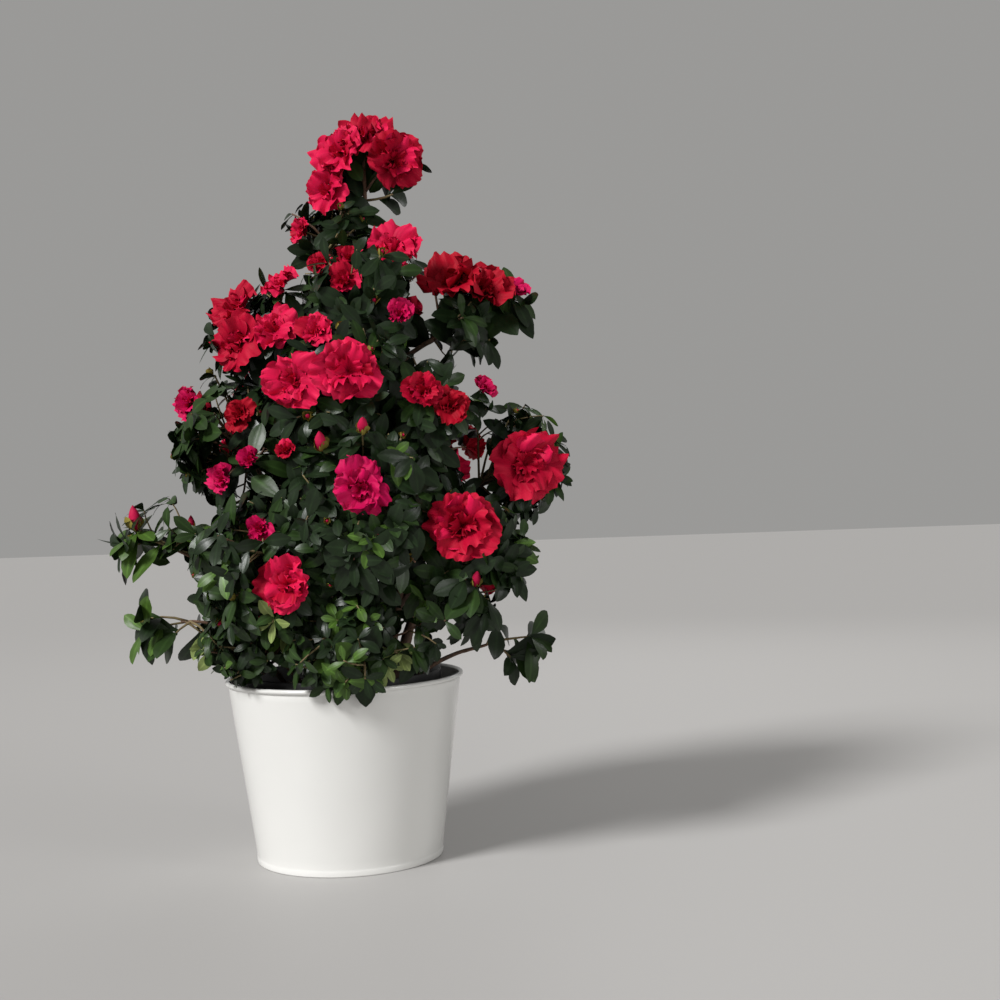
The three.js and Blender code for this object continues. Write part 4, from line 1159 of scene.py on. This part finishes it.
def leaf_form(rng):
    """A leaf of length 1 and width 1: obovate, folded on its midrib, arched and a little waved."""
    s, t = LEAF_STATIONS[:, None], LEAF_RIBS[None, :]
    half = 0.5 * np.sin(math.pi * s**1.4) ** 0.72
    half = np.maximum(half, np.where(s < 0.5, 0.06, 0.03))
    droop = rng.uniform(0.2, 0.95)
    slope = rng.uniform(-0.1, 0.2) - droop * s
    steps = np.diff(s, axis=0, prepend=0.0)
    run = np.cumsum(np.cos(slope) * steps, 0)
    rise = np.cumsum(np.sin(slope) * steps, 0)
    fold, twist = rng.uniform(0.1, 0.3), rng.uniform(-0.35, 0.35)
    wave, phase = rng.uniform(0.0, 0.05), rng.uniform(0, 6.28)
    edge = fold * np.abs(t) * half - 0.45 * fold * t * t * half
    ripple = wave * t * np.sin(9 * s + phase) * (half > 0.1)
    lift = rise + (edge + twist * s * t * half) * 0.45 + ripple * 0.45
    return np.stack(np.broadcast_arrays(run, t * half, lift), 2).reshape(-1, 3)


def leaf_points(forms, rows):
    """The points of many leaves, each form laid along its leaf."""
    bases, along, normal, lengths, widths, picks, _ = (np.array(column) for column in zip(*rows))
    side = np.cross(normal, along)
    side /= np.linalg.norm(side, axis=1, keepdims=True)
    frames = np.stack([along, side, np.cross(along, side)], 2)
    shapes = forms[picks] * np.stack([lengths, widths, lengths], 1)[:, None, :]
    return bases[:, None, :] + np.einsum("nij,nkj->nki", frames, shapes)


def by_side(name, rows):
    """The leaves of one colour as named pieces: one, or the front and the back where they are many."""
    if len(rows) < MOST_LEAVES:
        return [(name, rows)]
    front = [row for row in rows if row[0][1] < 0]
    back = [row for row in rows if row[0][1] >= 0]
    return [(name + "_front", front), (name + "_back", back)]


def dress_leaves(_):
    """The leaves, in pieces by colour."""
    rng = np.random.default_rng(77)
    forms = np.array([leaf_form(rng) for _ in range(LEAF_FORMS)])
    shape = len(LEAF_STATIONS), len(LEAF_RIBS)
    uv = blade_uv(LEAF_STATIONS, LEAF_RIBS)
    for kind, (label, colour, gloss) in enumerate(LEAF_KINDS):
        material = leaf_finish("leaf_" + label, colour, gloss)
        for name, rows in by_side("leaves_" + label, [leaf for leaf in crown().leaves if leaf[6] == kind]):
            grid_piece(name, leaf_points(forms, rows), *shape, material, "foliage", uv=uv)
    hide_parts(*[row[0] for row in MASSES])


def petal_form(rng, base_angle, tip_angle, length, width, ruffle, rows, columns):
    """A petal in its flower's frame: X out from the axis, Z along it; broad, frilled and curling back."""
    s = np.linspace(0, 1, rows)[:, None] ** 0.85
    t = np.linspace(-1, 1, columns)[None, :]
    tilt = np.radians(base_angle + (tip_angle - base_angle) * (s * s * (3 - 2 * s)))
    steps = np.diff(s[:, 0], prepend=0.0)[:, None] * length
    out = np.cumsum(np.sin(tilt) * steps, 0)
    up = np.cumsum(np.cos(tilt) * steps, 0)
    half = 0.5 * width * (0.14 + 0.86 * np.sin(np.minimum(s / 0.7, 1) * math.pi / 2) ** 1.4)
    half = half * np.sqrt(1 - 0.28 * np.clip((s - 0.6) / 0.4, 0, 1) ** 2)

    def waves(least, most, lag=0.0):
        return np.sin(math.pi * rng.uniform(least, most) * t + rng.uniform(0, 6.28) + lag)

    teeth = waves(4.6, 6.6)
    notches = 0.022 * teeth + rng.normal(0, 0.007, columns)[None, :]
    shorten = (0.27 * np.abs(t) ** 3.4 * s**2 + notches * s**4) * length
    swell = waves(0.9, 1.8, 1.6 * s) * s**1.4
    frill = waves(3.0, 4.6, 2.5 * s)
    rim = np.maximum(s**4, np.abs(t) ** 4 * s)
    cup = rng.uniform(-0.14, 0.2)
    lift = length * (ruffle * (0.95 * swell + 0.7 * frill * rim) + 0.03 * rng.normal()) + cup * half * t * t
    x = out - shorten * np.sin(tilt) - np.cos(tilt) * lift + 0.02 * length
    y = t * half * (1 + 0.05 * rng.normal()) + rng.normal(0, 0.08) * length * s
    z = up - shorten * np.cos(tilt) + np.sin(tilt) * lift
    return np.stack([x, y, z], 2).reshape(-1, 3)


def spun(points, turn):
    """Points turned about Z."""
    cosine, sine = math.cos(turn), math.sin(turn)
    return points @ np.array([[cosine, -sine, 0], [sine, cosine, 0], [0, 0, 1]]).T


def flower_petals(flower, rng):
    """The petals of one flower in its place, as a list of point arrays."""
    opening = flower.opening
    petals = []
    for ring, (count, base_angle, tip_angle, length, width, ruffle) in enumerate(WHORLS):
        base = base_angle * (0.5 + 0.5 * opening)
        frill = ruffle * (0.5 + 0.6 * opening)
        for k in range(count):
            tip = tip_angle * (0.22 + 0.78 * opening) + rng.normal(0, 16)
            size = rng.uniform(0.78, 1.14)
            form = petal_form(rng, base, tip, length * size, width * size, frill, PETAL_ROWS, PETAL_COLUMNS)
            turn = 2 * math.pi * (k / count + 0.1 * ring) + rng.normal(0, 0.12 + 0.1 * ring)
            petals.append(spun(form, turn))
    reach = max(float(np.percentile(np.hypot(p[:, 0], p[:, 1]), 97)) for p in petals)
    scale = flower.width / 2 / reach
    foot = flower.place - flower.facing * flower.width * (0.22 + 0.25 * (1 - opening))
    axes = flower.axes()
    return [foot + (p * scale) @ axes.T for p in petals]


def dress_flowers(_):
    """The open and half-open flowers, one piece for each colour."""
    rng = np.random.default_rng(55)
    sheets = [[] for _ in PETAL_COLOURS]
    for flower in crown().flowers:
        if not flower.open:
            continue
        for petal in flower_petals(flower, rng):
            colour = flower.colour
            if colour in (LIT_CORAL, CRIMSON) and rng.random() < 0.15:
                colour = LIT_CORAL + CRIMSON - colour
            sheets[colour].append(petal)
    uv = blade_uv(np.linspace(0, 1, PETAL_ROWS), np.linspace(-1, 1, PETAL_COLUMNS))
    for (label, colour), petals in zip(PETAL_COLOURS, sheets):
        finish = petal_finish("petal_" + label, colour)
        grid_piece("petals_" + label, petals, PETAL_ROWS, PETAL_COLUMNS, finish, "blossom", uv=uv)


def bud_points(flower):
    """A bud of rolled petals: a pointed spindle with spiral folds."""
    large = flower.width > SMALL_BUD
    radius = flower.width * (0.35 if large else 0.26)
    length = flower.width * (1.5 if large else 1.0)
    rise = np.linspace(0, 1, BUD_RINGS)[:, None]
    angles = ring_angles(BUD_SIDES)[None, :]
    swell = np.sin(math.pi * np.clip(rise, 0.015, 0.99) ** 0.85) ** 0.75
    folds = 1 + 0.13 * np.abs(np.sin(1.5 * angles + 2.6 * rise)) - 0.06
    reach = radius * swell * folds
    local = np.stack(np.broadcast_arrays(reach * np.cos(angles), reach * np.sin(angles), rise * length), 2)
    return flower.place + (local - np.array([0, 0, 0.35 * length])) @ flower.axes().T


def bract_points(flower, rng):
    """The papery bracts round a bud's foot, as thin curved sheets."""
    sheets = []
    for k in range(6):
        form = petal_form(rng, 62, -6, 0.95, 0.8, 0.02, BRACT_ROWS, BRACT_COLUMNS)
        size = flower.width * (1.06 if k < 3 else 0.84) * (1.0 if flower.width > SMALL_BUD else 1.3)
        form = spun(form, k * GOLDEN_ANGLE) * size - np.array([0, 0, 0.53 * flower.width])
        sheets.append(flower.place + form @ flower.axes().T)
    return sheets


def dress_buds(_):
    """The closed buds with their bracts."""
    rng = np.random.default_rng(19)
    closed = [flower for flower in crown().flowers if not flower.open] + crown().buds
    buds = [bud_points(flower) for flower in closed]
    finish = petal_finish("bud_petal", (0.56, 0.01, 0.07), bladed=False)
    grid_piece("flower_buds", buds, BUD_RINGS, BUD_SIDES, finish, "blossom", True)
    bracts = [sheet for flower in closed for sheet in bract_points(flower, rng)]
    finish = leaf_finish("bud_bract", (0.22, 0.18, 0.035), 0.45, veined=False)
    grid_piece("bud_bracts", bracts, BRACT_ROWS, BRACT_COLUMNS, finish, "foliage")


def add_light(name, kind, power, heading, place=(0, 0, 0), **settings):
    """A light at a place, turned along a heading."""
    data = bpy.data.lights.new(name, kind)
    data.energy = power
    for key, value in settings.items():
        setattr(data, key, value)
    light = linked(name, data)
    light.location = place
    light.rotation_euler = heading.to_track_quat("-Z", "Y").to_euler()


def set_stage(scene):
    """A plain pale floor, soft light and the camera."""
    settings = scene.azalea_stage
    size = 8.0
    corners = [(-size, -size, 0), (size, -size, 0), (size, size, 0), (-size, size, 0)]
    mesh = bpy.data.meshes.new("floor")
    mesh.from_pydata(corners, [], [(0, 1, 2, 3)])
    mesh.materials.append(Shade("pale_floor").finish((0.42, 0.41, 0.4, 1.0), 0.6))
    linked("floor", mesh)

    heart = Vector((0.03, 0.0, 0.32))
    sun_heading = Vector((0.8, 0.74, -0.85))
    add_light("window_light", "SUN", settings.key_power, sun_heading, angle=math.radians(16))
    for name, place, width, share in (
        ("fill_light", (1.5, -1.0, 0.6), 0.5, 1.5),
        ("back_light", (0.5, 1.5, 1.2), 0.9, 1.0),
    ):
        power = settings.fill_power * share
        add_light(name, "AREA", power, heart - Vector(place), place, shape="SQUARE", size=width)

    world = bpy.data.worlds.new("studio")
    world.use_nodes = True
    background = world.node_tree.nodes["Background"]
    background.inputs["Color"].default_value = (0.85, 0.84, 0.82, 1.0)
    background.inputs["Strength"].default_value = 0.38
    scene.world = world
    scene.view_settings.view_transform = "Standard"

    data = bpy.data.cameras.new("photo_camera")
    data.lens = 52.5
    data.sensor_width = 36.0
    data.clip_start = 0.05
    camera = linked("photo_camera", data)
    pitch, roll = math.radians(90 - 0.22), math.radians(settings.camera_roll)
    turn = Euler((pitch, 0, 0)).to_matrix() @ Matrix.Rotation(roll, 3, "Z")
    camera.matrix_world = Matrix.Translation(EYE) @ turn.to_4x4()
    scene.camera = camera


class AzaleaPlanterSettings(bpy.types.PropertyGroup):
    """The planter and compost's colours and amounts."""

    enamel: FloatVectorProperty(
        name="Enamel",
        description="Colour of the planter's enamel",
        subtype="COLOR",
        default=(0.74, 0.735, 0.71),
    )
    crumbs: IntProperty(name="Crumbs", description="Crumbs on the compost", default=1500, min=0)


class AzaleaStageSettings(bpy.types.PropertyGroup):
    """The stage's light and camera."""

    key_power: FloatProperty(name="Window light", description="Strength of the main light", default=3.6)
    fill_power: FloatProperty(
        name="Fill light", description="Power of each side light", default=4.0, unit="POWER"
    )
    camera_roll: FloatProperty(name="Camera roll", description="Roll of the camera in degrees", default=-1.97)


class Steps:
    """What the operators share: each takes its steps in turn."""

    steps = ()

    def execute(self, context):
        for step in self.steps:
            step(context.scene)
        return {"FINISHED"}


class AZALEA_OT_stage(Steps, bpy.types.Operator):
    """Set the floor, the light and the camera"""

    bl_idname = "azalea.stage"
    bl_label = "Stage"
    steps = (set_stage,)


class AZALEA_OT_planter(Steps, bpy.types.Operator):
    """Make the tin planter and the inner pot"""

    bl_idname = "azalea.planter"
    bl_label = "Planter"
    steps = (dress_planter, dress_inner_pot)


class AZALEA_OT_compost(Steps, bpy.types.Operator):
    """Make the compost and its crumbs"""

    bl_idname = "azalea.compost"
    bl_label = "Compost"
    steps = (dress_compost,)


class AZALEA_OT_limbs(Steps, bpy.types.Operator):
    """Make the trunk, stems, boughs and twigs"""

    bl_idname = "azalea.limbs"
    bl_label = "Limbs and twigs"
    steps = (dress_limbs, dress_twigs)


class AZALEA_OT_leaves(Steps, bpy.types.Operator):
    """Make the leaves"""

    bl_idname = "azalea.leaves"
    bl_label = "Leaves"
    steps = (dress_leaves,)


class AZALEA_OT_flowers(Steps, bpy.types.Operator):
    """Make the flowers and buds"""

    bl_idname = "azalea.flowers"
    bl_label = "Flowers"
    steps = (dress_flowers, dress_buds)


OPERATORS = (
    AZALEA_OT_stage,
    AZALEA_OT_planter,
    AZALEA_OT_compost,
    AZALEA_OT_limbs,
    AZALEA_OT_leaves,
    AZALEA_OT_flowers,
)


class AZALEA_PT_panel(bpy.types.Panel):
    """The azalea's settings and steps"""

    bl_label = "Azalea"
    bl_idname = "AZALEA_PT_panel"
    bl_space_type = "VIEW_3D"
    bl_region_type = "UI"
    bl_category = "Azalea"

    def draw(self, context):
        layout = self.layout
        for group in (context.scene.azalea_planter, context.scene.azalea_stage):
            for key in group.bl_rna.properties.keys():
                if key not in ("rna_type", "name"):
                    layout.prop(group, key)
        for operator in OPERATORS:
            layout.operator(operator.bl_idname)


CLASSES = (AzaleaPlanterSettings, AzaleaStageSettings, *OPERATORS, AZALEA_PT_panel)


def register():
    for entry in CLASSES:
        bpy.utils.register_class(entry)
    bpy.types.Scene.azalea_planter = PointerProperty(type=AzaleaPlanterSettings)
    bpy.types.Scene.azalea_stage = PointerProperty(type=AzaleaStageSettings)


def unregister():
    del bpy.types.Scene.azalea_planter
    del bpy.types.Scene.azalea_stage
    for entry in reversed(CLASSES):
        bpy.utils.unregister_class(entry)


def main():
    register()
    bpy.ops.azalea.stage()
    bpy.ops.azalea.planter()
    bpy.ops.azalea.compost()
    bpy.ops.azalea.limbs()
    bpy.ops.azalea.leaves()
    bpy.ops.azalea.flowers()
    bpy.context.view_layer.update()


if __name__ == "__main__":
    main()
